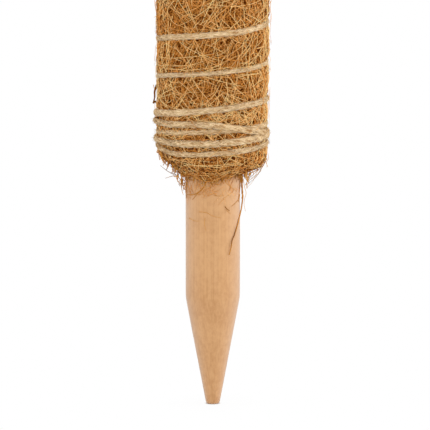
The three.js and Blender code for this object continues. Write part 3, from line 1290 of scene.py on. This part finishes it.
    def __post_init__(self) -> None:
        """Works out the mat's outline, with a skirt along the stake at each end, and lengths along it."""
        low, high = node_box("coir_mat")
        _, stake_high = node_box("stake")
        self.low, self.high = low[2], high[2]
        self.stake_radius = stake_high[0]
        self.z = np.linspace(self.low - self.skirt, self.high + self.top_skirt, self.outline_points)
        inside = np.minimum(self.z - self.low, self.high - self.z)
        fullness = np.sin(math.pi / 2 * np.clip(inside / self.draw_in, 0, 1)) ** self.fullness
        on_mat = self.lip_radius + (self.radius - self.lip_radius) * fullness
        on_stake = self.stake_radius + (self.lip_radius - self.stake_radius) * np.exp(np.minimum(inside, 0))
        self.outline = np.where(inside > 0, on_mat, on_stake)
        step = np.hypot(np.diff(self.z), np.diff(self.outline))
        self.reach = np.concatenate(([0], step.cumsum()))
        self.lower_lip = np.interp(self.low, self.z, self.reach)
        self.upper_lip = np.interp(self.high, self.z, self.reach)
        self.slope_out = np.gradient(self.outline, self.reach)
        self.slope_up = np.gradient(self.z, self.reach)

    def at(self, reach: Array, values: Array) -> Array:
        """Reads one of the outline's values at distances along it."""
        return np.interp(reach, self.reach, values)

    def lumps(self, angle: Array, z: Array) -> Array:
        """Gives the mat's uneven thickness: a sum of slanting waves of random length, slant and start.

        Args:
            angle: Angles round the pole.
            z: Heights, in mm.

        Returns:
            Heights of the surface over its even place, in mm.
        """
        rng = np.random.default_rng(self.lump_seed)
        total = np.zeros(np.broadcast(angle, z).shape)
        for _ in range(self.lump_waves):
            around = rng.integers(-self.lump_turns, self.lump_turns + 1)
            along = FULL_TURN / rng.uniform(*self.lump_length)
            total = total + np.sin(around * angle + along * z + rng.uniform(0, FULL_TURN))
        return self.lump_height * total

    def surface(self, angle: Array, reach: Array, lift: Array, bridge: float = 0.0) -> Array:
        """Gives points on the mat.

        The outline's point is moved along the outline's normal by the lift and the lumps, less a bell
        shaped groove under the nearest loop of twine and one along the seam. The lower end is drawn up a
        little, by a ragged sum of waves round the pole, and has the dents on top.

        Args:
            angle: Angles round the pole.
            reach: Distances along the outline from the end of its lower skirt, in mm.
            lift: Heights above the middle surface, in mm.
            bridge: Share of the groove that is left out.

        Returns:
            Points in mm.
        """
        z = self.at(reach, self.z)
        on_mat = np.clip(np.minimum(z - self.low, self.high - z) / self.end_fade, 0, 1)
        nearest = np.abs(self.route.heights_at(angle) - z[..., None]).min(axis=-1)
        groove = (1 - bridge) * self.groove_depth * bell(nearest, self.groove_width)
        from_seam = np.abs(turn_from(angle, SEAM_ANGLE)) * self.radius
        seam = self.seam_depth * bell(from_seam, self.seam_width)
        out = lift + on_mat * (self.lumps(angle, z) - groove - seam)
        waves = sum(np.sin(crests * angle + start) for crests, start in self.ragged_waves)
        rise = self.lip_rise + self.ragged * waves
        outline = self.at(reach, self.outline)
        for dent in self.dents:
            share = bell(turn_from(angle, math.radians(dent.angle)), math.radians(dent.spread))
            rise = rise + dent.rise * share
            outline = outline - dent.depth * on_mat * share * bell(z - dent.height, dent.reach)
        rise = rise * bell(z - self.low, self.rise_reach)
        radius = outline + out * self.at(reach, self.slope_up)
        return self.route.place(angle, radius, z + rise - out * self.at(reach, self.slope_out))

    def build_core(self, material: Material) -> None:
        """Makes the felt core, a closed ring: the outline carried round the stake, and its bore.

        Args:
            material: The felt's finish.
        """
        angle = round_angles(self.core_columns)
        reach = np.linspace(self.lower_lip, self.upper_lip, self.core_rows)
        angles, reaches = np.meshgrid(angle, reach)
        rng = np.random.default_rng(self.core_seed)
        from_lip = np.minimum(reaches - self.lower_lip, self.upper_lip - reaches)
        depth = self.core_depth * np.clip(from_lip / self.core_fade, self.core_lip, 1)
        uneven = rng.uniform(-self.core_uneven, self.core_uneven, angles.shape)
        outside = self.surface(angles, reaches, -depth + uneven)
        down = np.linspace(0, 1, self.bore_rows)[:, None]
        bore_heights = outside[-1, :, 2] + down * (outside[0, :, 2] - outside[-1, :, 2])
        inside = polar(angle[None, :], self.stake_radius + self.bore_gap + 0 * bore_heights, bore_heights)
        shape = grid_shape(np.concatenate((outside, inside)), True)
        core = make_piece("coir_felt_core", shape, material)
        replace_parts(core, "coir_mat")

    def starts(self, layer: FibreLayer, rng: np.random.Generator) -> tuple[Array, Array]:
        """Draws the places of a layer's fibres.

        Over the whole mat their bundles are spread evenly: each place is the one before it plus a fixed
        share of the round and of the length, both wrapped. On a patch they are random.

        Args:
            layer: The layer's sizes.
            rng: Source of random numbers.

        Returns:
            Angles round the pole and distances along the outline, as columns.
        """
        if layer.patch is None:
            first = rng.uniform(0, self.even_starts)
            number = np.arange(layer.count) // layer.bundle + first
            angle = FULL_TURN * (number * self.even_steps[0] % 1)
            reach = self.lower_lip + (self.upper_lip - self.lower_lip) * (number * self.even_steps[1] % 1)
            if layer.bundle > 1:
                angle = angle + rng.normal(0, self.bundle_spread / self.radius, layer.count)
                reach = reach + rng.normal(0, self.bundle_spread, layer.count)
        else:
            patch = layer.patch
            angle = np.radians(patch.angle + rng.uniform(-patch.spread, patch.spread, layer.count))
            reach = np.interp(rng.uniform(patch.low, patch.high, layer.count), self.z, self.reach)
        return angle[:, None], reach[:, None]

    def build_layer(self, layer: FibreLayer, material: Material) -> None:
        """Lays one layer of fibres on the mat.

        A fibre's middle lies at its place with a random heading, and its heading turns evenly with a slow
        sway on top. Steps along the heading are added up round the pole and along the outline, and the
        fibre is folded back a little past the mat's edge. It weaves up and down through its layer, and
        from a fifth of its length on it rises with the square of the way.

        Args:
            layer: The layer's sizes.
            material: The fibres' finish.
        """
        rng = np.random.default_rng(layer.seed)
        count = layer.count
        length = column(rng, layer.length, count)
        share = np.linspace(-0.5, 0.5, layer.steps + 1)[None, :]
        travelled = share * length
        heading = rng.uniform(0, FULL_TURN, count)
        if layer.bundle > 1:
            heading = heading[np.arange(count) // layer.bundle] + rng.normal(0, self.bundle_turn, count)
        heading = heading[:, None] + rng.normal(0, layer.bend, count)[:, None] * travelled
        sway_length = column(rng, self.sway_length, count)
        sway = rng.normal(0, self.sway, count)[:, None]
        sway_start = sway_length * self.sway_start
        heading = heading + sway * np.sin(FULL_TURN * travelled / sway_length + sway_start)
        step = length / layer.steps
        around = np.cumsum(np.cos(heading), axis=1) * step
        up = np.cumsum(np.sin(heading), axis=1) * step
        middle = slice(layer.steps // 2, layer.steps // 2 + 1)
        start_angle, start_reach = self.starts(layer, rng)
        past_edge = self.overhang * rng.random(count)[:, None] ** 2
        if layer.patch is not None:
            past_edge = past_edge + self.skirt - self.overhang
        reach = start_reach + up - up[:, middle]
        reach = self.lower_lip - past_edge + np.abs(reach - self.lower_lip + past_edge)
        reach = self.upper_lip + past_edge - np.abs(self.upper_lip + past_edge - reach)
        angle = start_angle + (around - around[:, middle]) / self.at(start_reach, self.outline)
        weave = column(rng, (0.0, self.weave), count) * (layer.lift[1] - layer.lift[0])
        phase = column(rng, (0, FULL_TURN), count)
        lift = column(rng, layer.lift, count)
        lift = lift + weave * np.sin(FULL_TURN * travelled / column(rng, self.weave_length, count) + phase)
        # From a fifth of the fibre on the root of the rise grows to 0.8, whose square is 0.64.
        lift = lift + column(rng, layer.rise, count) * np.clip(0.3 + share, 0, 1) ** 2 / 0.64
        paths = self.surface(angle, reach, lift, layer.bridge)
        width = column(rng, layer.width, count)
        shade = column(rng, layer.shade, count)
        # Painted shade: fibres near the lower edge are made darker, for the shade on the mat's drawn-in
        # lower end.
        shade = shade - self.painted_edge_shade * bell(paths[:, middle, 2] - self.low, self.rise_reach)
        radii = width / 2 * thinned(np.abs(2 * share), 4)
        self.fibre_piece(layer.name, paths, radii, shade, material)

    def fibre_piece(self, name: str, paths: Array, radii: Array, shade: Array, material: Material) -> None:
        """Makes a piece of many thin fibres.

        Args:
            name: The piece's name.
            paths: Fibres by points by 3, in mm.
            radii: Fibres by points, in mm.
            shade: How pale each fibre is, as a column or for each of its points.
            material: The fibres' finish.
        """
        nearly_level = np.array([1.0, 1.0, 0.1])
        outward = paths * nearly_level
        shape = strand_shape(paths, radii, self.fibre_sides, outward, paths.shape[1] - 1)
        shades = np.broadcast_to(shade, paths.shape[:2])
        shape.values["shade"] = np.repeat(shades.ravel(), self.fibre_sides)
        make_piece(name, shape, material)

    def heading(self, angle: Array, out: Array, around: Array, up: Array) -> Array:
        """Gives unit directions from their parts outwards, round the pole and up."""
        return unit(polar(angle, out, up) + polar(angle + math.pi / 2, around, 0 * up))

    def tuft_roots(self, tuft: Tuft, rng: np.random.Generator) -> tuple[Array, Array, Array]:
        """Draws where a tuft's fibres start: at the outline, down along it, with a flare outwards.

        Their heights over the edge follow a random share to the power of 1.5, so most start near it.

        Args:
            tuft: The tuft.
            rng: Source of random numbers.

        Returns:
            Starts and directions, one row for each fibre, and lengths.
        """
        angle = np.radians(rng.normal(tuft.angle, tuft.spread, tuft.count))
        reach = self.lower_lip + tuft.high * rng.random(tuft.count) ** 1.5
        start = self.surface(angle, reach, np.full(tuft.count, self.tuft_lift))
        flare = rng.uniform(*tuft.flare, tuft.count)
        down_out = -self.at(reach, self.slope_out)
        down_up = -self.at(reach, self.slope_up)
        around = rng.normal(0, self.tuft_around, tuft.count)
        heading = self.heading(angle, down_out - flare * down_up, around, down_up + flare * down_out)
        return start, heading, rng.uniform(*tuft.length, tuft.count)

    def wisp_roots(self, wisp: Wisp, rng: np.random.Generator) -> tuple[Array, Array, Array]:
        """Draws where a wisp's fibres start: close together, each off the bunch's direction a little.

        Args:
            wisp: The wisp.
            rng: Source of random numbers.

        Returns:
            Starts and directions, one row for each fibre, and lengths.
        """
        radius = np.interp(wisp.height, self.z, self.outline)
        angle = math.radians(wisp.angle) + rng.normal(0, wisp.root, wisp.count) / radius
        reach = np.interp(wisp.height, self.z, self.reach) + rng.normal(0, wisp.root, wisp.count)
        start = self.surface(angle, reach, np.full(wisp.count, self.wisp_lift))
        out, around, up = (part + rng.normal(0, wisp.scatter, wisp.count) for part in wisp.lean)
        return start, self.heading(angle, out, around, up), rng.uniform(*wisp.length, wisp.count)

    def build_loose_ends(self, material: Material) -> None:
        """Makes the loose ends below the mat.

        A loose end leaves the mat along its direction and bends with the square of the way, with a swing
        from side to side on top. Where it would enter the stake it lies on it.

        Args:
            material: The fibres' finish.
        """
        rng = np.random.default_rng(self.loose_seed)
        roots = [self.tuft_roots(tuft, rng) for tuft in self.tufts]
        roots += [self.wisp_roots(wisp, rng) for wisp in self.wisps]
        start, heading, length = (np.concatenate(parts) for parts in zip(*roots))
        count = len(start)
        share = np.linspace(0, 1, self.loose_steps + 1)[None, :, None]
        curl = rng.normal(0, self.loose_curl, (count, 1, 3)) - np.array([0.0, 0.0, self.loose_sag])
        swing = rng.normal(0, self.loose_swing, (count, 1, 3))
        swing = swing * np.sin(rng.uniform(*self.loose_turn, (count, 1, 1)) * share)
        way = heading[:, None, :] * share + curl * share**2 + swing
        paths = start[:, None, :] + length[:, None, None] * way
        from_axis = np.hypot(paths[..., 0], paths[..., 1])
        paths[..., :2] *= (np.maximum(from_axis, self.stake_radius + self.stake_gap) / from_axis)[..., None]
        radii = column(rng, self.loose_radius, count) * thinned(share[..., 0], 2)
        shade = column(rng, self.loose_shade, count)
        self.fibre_piece("coir_loose_ends", paths, radii, shade, material)

    def build_fallen(self, material: Material) -> None:
        """Makes the fibres that hang down the stake, lie on its front or stand off the mat's edge.

        Their points are given across the front. On the stake their depth keeps them on its
        round, and elsewhere it is their own. The strands of a bunch are that curve with its points moved
        a little and the whole strand moved in depth and changed in shade. Each curve is sampled at even
        shares of its points.

        Args:
            material: The fibres' finish.
        """
        rng = np.random.default_rng(self.fallen_seed)
        bunch_rng = np.random.default_rng(self.bunch_seed)
        share = np.linspace(0, 1, self.fallen_steps + 1)
        strands = [fibre for fibre in self.fallen for _ in range(fibre.strands)]
        paths = []
        shades = []
        for fibre in strands:
            across, height = np.array(fibre.route).T
            out = (self.stake_radius + fibre.width / 2) ** 2 - across**2
            depth = -np.sqrt(np.maximum(out, self.least_depth))
            if fibre.depth is not None:
                depth = np.full(len(across), fibre.depth)
            points = np.stack((across, depth, height), axis=-1)
            if fibre.strands > 1:
                points = points + rng.normal(0, 1, points.shape) * self.strand_spread
                points[:, 1] += self.strand_depth * bunch_rng.normal()
            curve = smooth_path(points, self.curve_steps)
            paths.append(sampled(share * (len(curve) - 1), np.arange(len(curve)), curve))
            shades.append(fibre.shade + np.interp(share, np.linspace(0, 1, len(fibre.tones)), fibre.tones))
        in_bunch = np.array([fibre.strands > 1 for fibre in strands])[:, None]
        shade = np.stack(shades) + in_bunch * bunch_rng.normal(*self.strand_shade, (len(strands), 1))
        width = np.array([fibre.width for fibre in strands])[:, None]
        radii = width / 2 * thinned(share, 1)
        self.fibre_piece("coir_fallen_fibres", np.stack(paths), radii, shade, material)

    def build(self, groups: SharedGroups) -> None:
        """Makes the core, its layers and the loose ends.

        Args:
            groups: The shared groups.
        """
        fibre = self.finish.strand_material(groups)
        self.build_core(self.felt.felt_material())
        for layer in self.layers:
            self.build_layer(layer, fibre)
        loose = self.loose.strand_material(groups)
        self.build_loose_ends(loose)
        self.build_fallen(loose)


@dataclass
class Twine:
    """The two plies of the jute twine, twisted round each other along its route, and their fibres.

    Attributes:
        yarn: Colours of the plies.
        hair: Colours of the fine fibres on them.
        flatness: Thickness away from the mat as a share of the width.
        uneven_lengths: Lengths of the waves in a ply's thickness, in mm a radian.
        ply_start: How far ahead the first of these waves starts on the second ply, in radians.
        run_lift: How much paler the fibres of the open turns are.
        thickness_at: Turns and shares of the full thickness there.
        cell_steps: Steps along a ply that share a cell of the map.
        fibre_turn: How far round from the outside fibres start at most, in radians.
        rise_turn: Share of a fibre's turn round the twine that its rising end points to.
        knot_size: Size of the knot's drawing, in mm a unit.
    """

    route: TwineRoute
    yarn: FibreFinish
    hair: FibreFinish
    ply_radius: float = 0.72
    ply_offset: float = 0.16
    flatness: float = 0.75
    lay_length: float = 5.2
    uneven: float = 0.05
    uneven_lengths: tuple[float, ...] = (2.3, 5.7, 13.0)
    ply_start: float = 2.1
    run_lift: float = 0.22
    thickness_at: tuple[Range, ...] = (
        (0.25, 0.82), (0.5, 0.84), (0.62, 0.9), (0.75, 1.0),
        (1.25, 1.0), (1.5, 1.15), (1.64, 1.35), (1.72, 1.35), (1.9, 1.05),
        (2.25, 0.85), (2.32, 1.0), (2.5, 1.1), (2.62, 1.1), (2.75, 1.05),
        (3.25, 0.9), (3.5, 0.84), (3.75, 0.85),
        (4.3, 1.15), (4.5, 1.05), (4.75, 0.9),
        (5.25, 0.72), (5.5, 0.68), (5.75, 0.66),
        (6.25, 1.08), (6.5, 1.0), (6.75, 0.85),
        (7.5, 0.85), (8.5, 1.0), (10.5, 0.9), (24.0, 0.95),
    )
    sides: int = 9
    cell_steps: int = 44
    fibre_sides: int = 3
    fibre_turn: float = 1.9
    rise_turn: float = 0.6
    knot_size: float = 0.6
    knot_middle: float = 3.0
    knot_lift: float = 0.5
    knot_thickness: float = 0.9
    yarn_layers: tuple[FibreLayer, ...] = (
        FibreLayer(
            "twine_yarn_fibres", 5800, 5, (2, 6), (0.1, 0.18), (-0.03, 0.04), (0.0, 1.2), 31, 0.3,
            (0.0, 0.08),
        ),
        FibreLayer(
            "twine_fine_fibres", 5800, 5, (1.5, 5), (0.08, 0.15), (-0.03, 0.04), (0.0, 1.4), 32, 0.5,
            (0.0, 0.3),
        ),
        FibreLayer(
            "twine_hairs", 3600, 5, (1.2, 4), (0.04, 0.07), (-0.03, 0.04), (0.4, 1.0), 33, 0.3,
            (0.2, 1.0),
        ),
    )

    def __post_init__(self) -> None:
        """Works out the directions away from the mat and across the twine, the lengths and thickness."""
        self.middle = self.route.points()
        self.outward, self.across = sideways(self.middle, self.middle * np.array([1.0, 1.0, 0.0]))
        self.travelled = lengths_along(self.middle)
        turn, share = np.array(self.thickness_at).T
        self.thickness = np.interp(self.route.turn, turn, share)

    def ply_paths(self, middle: Array, outward: Array, across: Array, thickness: Array) -> Array:
        """Winds two plies round a middle line.

        A ply's point is the middle's plus the offset times cos(a) outward plus sin(a) across, where a
        grows by a full turn each lay length, and the plies are half a turn apart.

        Args:
            middle: Points by 3, in mm.
            outward: Unit directions away from the mat at those points.
            across: Unit directions across the twine.
            thickness: Share of the twine's full thickness at those points.

        Returns:
            Plies by points by 3.
        """
        turned = FULL_TURN * lengths_along(middle) / self.lay_length
        turned = turned[None, :, None] + np.array([0, math.pi])[:, None, None]
        wound = self.flatness * np.cos(turned) * outward + np.sin(turned) * across
        return middle + self.ply_offset * thickness[:, None] * wound

    def ply_radii(self) -> Array:
        """Gives the plies' uneven thickness: slow waves along the twine, which start apart on each ply.

        Returns:
            Plies by points, in mm.
        """
        ply = np.array([0.0, self.ply_start])[:, None]
        numbered = enumerate(self.uneven_lengths, 1)
        waves = sum(np.sin(self.travelled / length + number * ply) for number, length in numbered)
        return self.ply_radius * self.thickness * (1 + self.uneven * waves)

    def build_fibres(self, layer: FibreLayer, material: Material) -> None:
        """Lays fine fibres on the two plies.

        A fibre's point is the middle's plus a radius times cos(b) outward plus sin(b) across. The radius
        is where that direction leaves the nearer of the two ply circles, b turns slowly along the fibre,
        and the fibre's last end rises with the square of the way.

        Args:
            layer: The layer's sizes.
            material: The fibres' finish.
        """
        rng = np.random.default_rng(layer.seed)
        count = layer.count
        share = np.linspace(0, 1, layer.steps + 1)[None, :]
        length = column(rng, layer.length, count)
        length = length * rng.choice((-1, 1), count)[:, None]
        total = self.travelled[-1]
        travelled = column(rng, (0, total), count) + length * share
        travelled = total - np.abs(total - np.abs(travelled))
        side = column(rng, (-self.fibre_turn, self.fibre_turn), count)
        side = side + rng.normal(0, layer.bend, count)[:, None] * length * share
        ply_turn = FULL_TURN * travelled / self.lay_length
        off_out = self.ply_offset * np.cos(side - ply_turn)
        off_side = self.ply_offset * np.sin(side - ply_turn)
        radius = np.abs(off_out) + np.sqrt(self.ply_radius**2 - off_side**2)
        radius = radius * np.interp(travelled, self.travelled, self.thickness)
        radius = radius + column(rng, layer.lift, count)
        rise = column(rng, layer.rise, count) * share**2
        out = self.flatness * radius * np.cos(side) + rise * np.cos(side * self.rise_turn)
        aside = radius * np.sin(side) + rise * np.sin(side * self.rise_turn)
        lines = (self.middle, self.outward, self.across)
        middle, outward, across = (sampled(travelled, self.travelled, line) for line in lines)
        paths = middle + out[..., None] * outward + aside[..., None] * across
        radii = column(rng, layer.width, count) / 2 * thinned(share, 3)
        shape = strand_shape(paths, radii, self.fibre_sides, outward, layer.steps)
        turn = np.interp(travelled[:, 0], self.travelled, self.route.turn)
        past_lower = turn > self.route.lower_turns
        before_upper = turn < self.route.turns - self.route.upper_turns
        shade = rng.uniform(*layer.shade, count) + self.run_lift * (past_lower & before_upper)
        shape.values["shade"] = np.repeat(shade, (layer.steps + 1) * self.fibre_sides)
        make_piece(layer.name, shape, material)

    def build_winding(self, material: Material) -> None:
        """Makes the two plies of the winding.

        Args:
            material: The yarn's finish.
        """
        paths = self.ply_paths(self.middle, self.outward, self.across, self.thickness)
        radii = self.ply_radii()
        for number, name in enumerate(("twine_first_ply", "twine_second_ply")):
            ply = slice(number, number + 1)
            shape = strand_shape(
                paths[ply], radii[ply], self.sides, self.outward, self.cell_steps, self.flatness
            )
            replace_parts(make_piece(name, shape, material), "twine")

    def build_knot(self, end: PoleEnd, material: Material) -> None:
        """Ties the overhand knot at one end of the twine, with its cut tail.

        The knot is drawn flat as the cubic t^3 - 3t along the twine and the quartic t^4 - 4t^2 down from
        it, lifted over and under at its three crossings, and is then laid round the pole.

        Args:
            end: The end of the pole.
            material: The yarn's finish.
        """
        crossings = np.array([-2.0, -1.932, -1.732, -1.2, -0.518, 0.0, 0.518, 1.2, 1.732, 1.932, 2.0])
        levels = np.array([0.0, -0.7, 0.8, 0.4, -0.7, 0.0, 0.7, -0.4, -0.8, 0.7, 0.3])
        turn = np.linspace(-2, 2, 41)
        level = np.interp(turn, crossings, levels)
        loop = np.stack((turn**3 - 3 * turn, turn**4 - 4 * turn**2, level), axis=-1)
        lead = np.array([[-5.0, -2.0, -1.2], [-4.2, -1.6, -1.1], [-3.2, -0.8, -0.6]])
        tail = np.array([[3.0, 0.6, 0.2], [4.6, 0.2, -0.5], [6.8, -0.9, -0.9], [9.6, -2.6, -0.7]])
        along, down, level = smooth_path(np.concatenate((lead, loop, tail)), 4).T
        last = 0 if end is PoleEnd.LOWER else -1
        radius = self.route.radius[last]
        angle = SEAM_ANGLE + end.value * (self.knot_middle + self.knot_size * along) / radius
        height = self.route.height[last] - end.value * self.knot_size * (down + 2)
        middle = self.route.place(angle, radius + self.knot_lift + self.knot_size * level, height)
        outward, across = sideways(middle, polar(angle, np.ones_like(angle), 0 * angle))
        paths = self.ply_paths(middle, outward, across, np.full(len(middle), self.knot_thickness))
        radii = np.full(paths.shape[:2], self.ply_radius * self.knot_thickness)
        shape = strand_shape(paths, radii, self.sides, outward, self.cell_steps)
        knot = make_piece(f"twine_{end.name.lower()}_knot", shape, material)
        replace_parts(knot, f"{end.name.lower()}_knot")

    def build(self, groups: SharedGroups) -> None:
        """Makes the winding, the two knots and the fibres of the winding.

        Args:
            groups: The shared groups.
        """
        yarn = self.yarn.yarn_material(groups)
        self.build_winding(yarn)
        for end in PoleEnd:
            self.build_knot(end, yarn)
        hair = self.hair.strand_material(groups)
        for layer in self.yarn_layers:
            self.build_fibres(layer, hair)


@dataclass(frozen=True)
class Lamp:
    """A soft square lamp that faces the pole, with its place and side in metres and its power in watts."""

    name: str
    place: tuple[float, float, float]
    size: float
    power: float


@dataclass
class Stage:
    """The camera at the photograph's angle, a white floor, and soft light from the sides and above.

    Lengths are in metres.

    Attributes:
        tip_radius: Radius of the stake's tip, round which the floor shows a shadow.
        shadow_reach: How far the faint shadow round the tip goes.
        shadow_white: How white the floor still is in it.
        shadow_edge: Shares of the tip's radius between which the dark shadow right under it ends.
    """

    tip_radius: float
    distance: float = 1.0
    elevation: float = 7.5
    aim: tuple[float, float, float] = (0.00065, 0.0, 0.05634)
    frame_width: float = 0.1269
    ambient: float = 0.55
    floor_side: float = 6.0
    floor_depth: float = -0.00005
    floor_grey: float = 0.8
    shadow_reach: float = 0.02
    shadow_white: float = 0.94
    shadow_edge: Range = (0.9, 1.35)
    lamps: tuple[Lamp, ...] = (
        Lamp("front_lamp", (0.1, -1.1, 0.45), 0.8, 6.5),
        Lamp("right_lamp", (1.1, 0.1, 0.4), 0.6, 6.0),
        Lamp("left_lamp", (-1.1, 0.0, 0.4), 0.6, 2.7),
        Lamp("back_lamp", (0.0, 1.2, 0.9), 0.8, 7.0),
    )

    def build_camera(self) -> None:
        """Places the camera and sets its lens so that the frame is as wide as it has to be at the pole."""
        data = bpy.data.cameras.new("photo_camera")
        data.lens = data.sensor_width * self.distance / self.frame_width
        data.clip_end = 100.0
        camera = link("photo_camera", data)
        tilt = math.radians(self.elevation)
        x, y, z = self.aim
        camera.location = (x, y - self.distance * math.cos(tilt), z + self.distance * math.sin(tilt))
        camera.rotation_euler = (math.pi / 2 - tilt, 0.0, 0.0)
        bpy.context.scene.camera = camera

    def seen_by_eye(self, make: NodeMaker) -> Socket:
        """Adds the nodes that are 1 for rays from the camera, direct, mirrored or through glass.

        Args:
            make: Maker of the nodes.

        Returns:
            The value.
        """
        path = make.add("LightPath").outputs
        seen = make.math("MAXIMUM", path["Is Camera Ray"], path["Is Glossy Ray"])
        return make.math("MAXIMUM", seen, path["Is Transmission Ray"])

    def build_floor(self) -> None:
        """Lays a wide white floor just under the tip, which is plain white but for the shadow at the tip."""
        side, depth, grey = self.floor_side, self.floor_depth, self.floor_grey
        mesh = bpy.data.meshes.new("floor")
        corners = [(-side, -side, depth), (side, -side, depth), (side, side, depth), (-side, side, depth)]
        mesh.from_pydata(corners, [], [(0, 1, 2, 3)])
        material, make, shader = new_material("white_floor", roughness=0.9, specular=0.0)
        shader.inputs["Base Color"].default_value = (grey, grey, grey, 1.0)
        glow = make.add("Emission", {"Strength": 1.0}).outputs["Emission"]
        from_tip = make.add("VectorMath", {0: make.add("TexCoord").outputs["Object"]}, operation="LENGTH")
        away = from_tip.outputs["Value"]
        inner, outer = (self.tip_radius * share for share in self.shadow_edge)
        near = make.ramp(away, inner, outer, 0.0, 1.0)
        faint = make.ramp(away, 0.0, self.shadow_reach, self.shadow_white, 1.0)
        plain = make.math("MINIMUM", near, faint)
        share = make.math("MULTIPLY", self.seen_by_eye(make), plain)
        make.show("Material Output", share, shader.outputs["BSDF"], glow)
        mesh.materials.append(material)
        floor = link("floor", mesh)

    def build_lamps(self) -> None:
        """Hangs the lamps, each facing the point that the camera aims at."""
        for lamp in self.lamps:
            data = bpy.data.lights.new(lamp.name, "AREA")
            data.energy = lamp.power
            data.size = lamp.size
            light = link(lamp.name, data)
            light.location = lamp.place
            x, y, z = np.array(self.aim) - np.array(lamp.place)
            tilt = math.atan2(math.hypot(x, y), -z)
            light.rotation_euler = (tilt, 0.0, math.atan2(y, x) - math.pi / 2)

    def build_room(self) -> None:
        """Sets the world: an even grey for light, and white for the camera."""
        world = bpy.data.worlds.new("white_room")
        world.use_nodes = True
        bpy.context.scene.world = world
        make = NodeMaker(world.node_tree)
        room = world.node_tree.nodes["Background"]
        room.inputs["Color"].default_value = (1.0, 1.0, 1.0, 1.0)
        room.inputs["Strength"].default_value = self.ambient
        white = make.add("Background", {"Strength": 1.0}).outputs["Background"]
        make.show("World Output", self.seen_by_eye(make), room.outputs["Background"], white)

    def build(self) -> None:
        """Makes the whole stage."""
        bpy.context.scene.view_settings.view_transform = "Standard"
        self.build_camera()
        self.build_floor()
        self.build_lamps()
        self.build_room()


def main() -> None:
    """Builds the stage and the pole's pieces in order and logs each one."""
    logging.basicConfig(level=logging.INFO)
    stake = Stake(WoodFinish(srgb(206, 156, 103), srgb(185, 132, 77), srgb(170, 115, 66)))
    Stage(stake.tip_radius * MM).build()
    groups = SharedGroups(mottle_group(), tone_group())
    stake.build(groups)
    low, high = node_box("coir_mat")
    route = TwineRoute(bottom=low[2] + TWINE_INSET, top=high[2] - TWINE_INSET)
    coir = FibreFinish(
        "coir_fibre", srgb(147, 72, 10), srgb(243, 163, 75), srgb(255, 224, 155),
        roughness=0.5, specular=0.05, painted_underside_shade=0.6,
    )
    # Painted shade in part: the felt is much darker than the fibres, so that the gaps between fibres look
    # shaded.
    felt = FibreFinish(
        "coir_felt", srgb(70, 32, 4), srgb(108, 56, 14), srgb(146, 84, 26), roughness=0.9, specular=0.0
    )
    loose = FibreFinish(
        "coir_loose_fibre", srgb(126, 73, 15), srgb(196, 132, 54), srgb(234, 182, 108),
        roughness=0.7, specular=0.0, painted_underside_shade=0.2,
    )
    CoirMat(route, coir, felt, loose).build(groups)
    hair = FibreFinish(
        "jute_fibre", srgb(162, 116, 66), srgb(215, 185, 141), srgb(250, 228, 190),
        roughness=0.8, specular=0.1, painted_underside_shade=0.2, mottle_size=0.6, mottle_amount=0.8,
    )
    yarn = replace(hair, name="jute_yarn", mottle_size=4.0, mottle_amount=0.3)
    Twine(route, yarn, hair).build(groups)


if __name__ == "__main__":
    main()
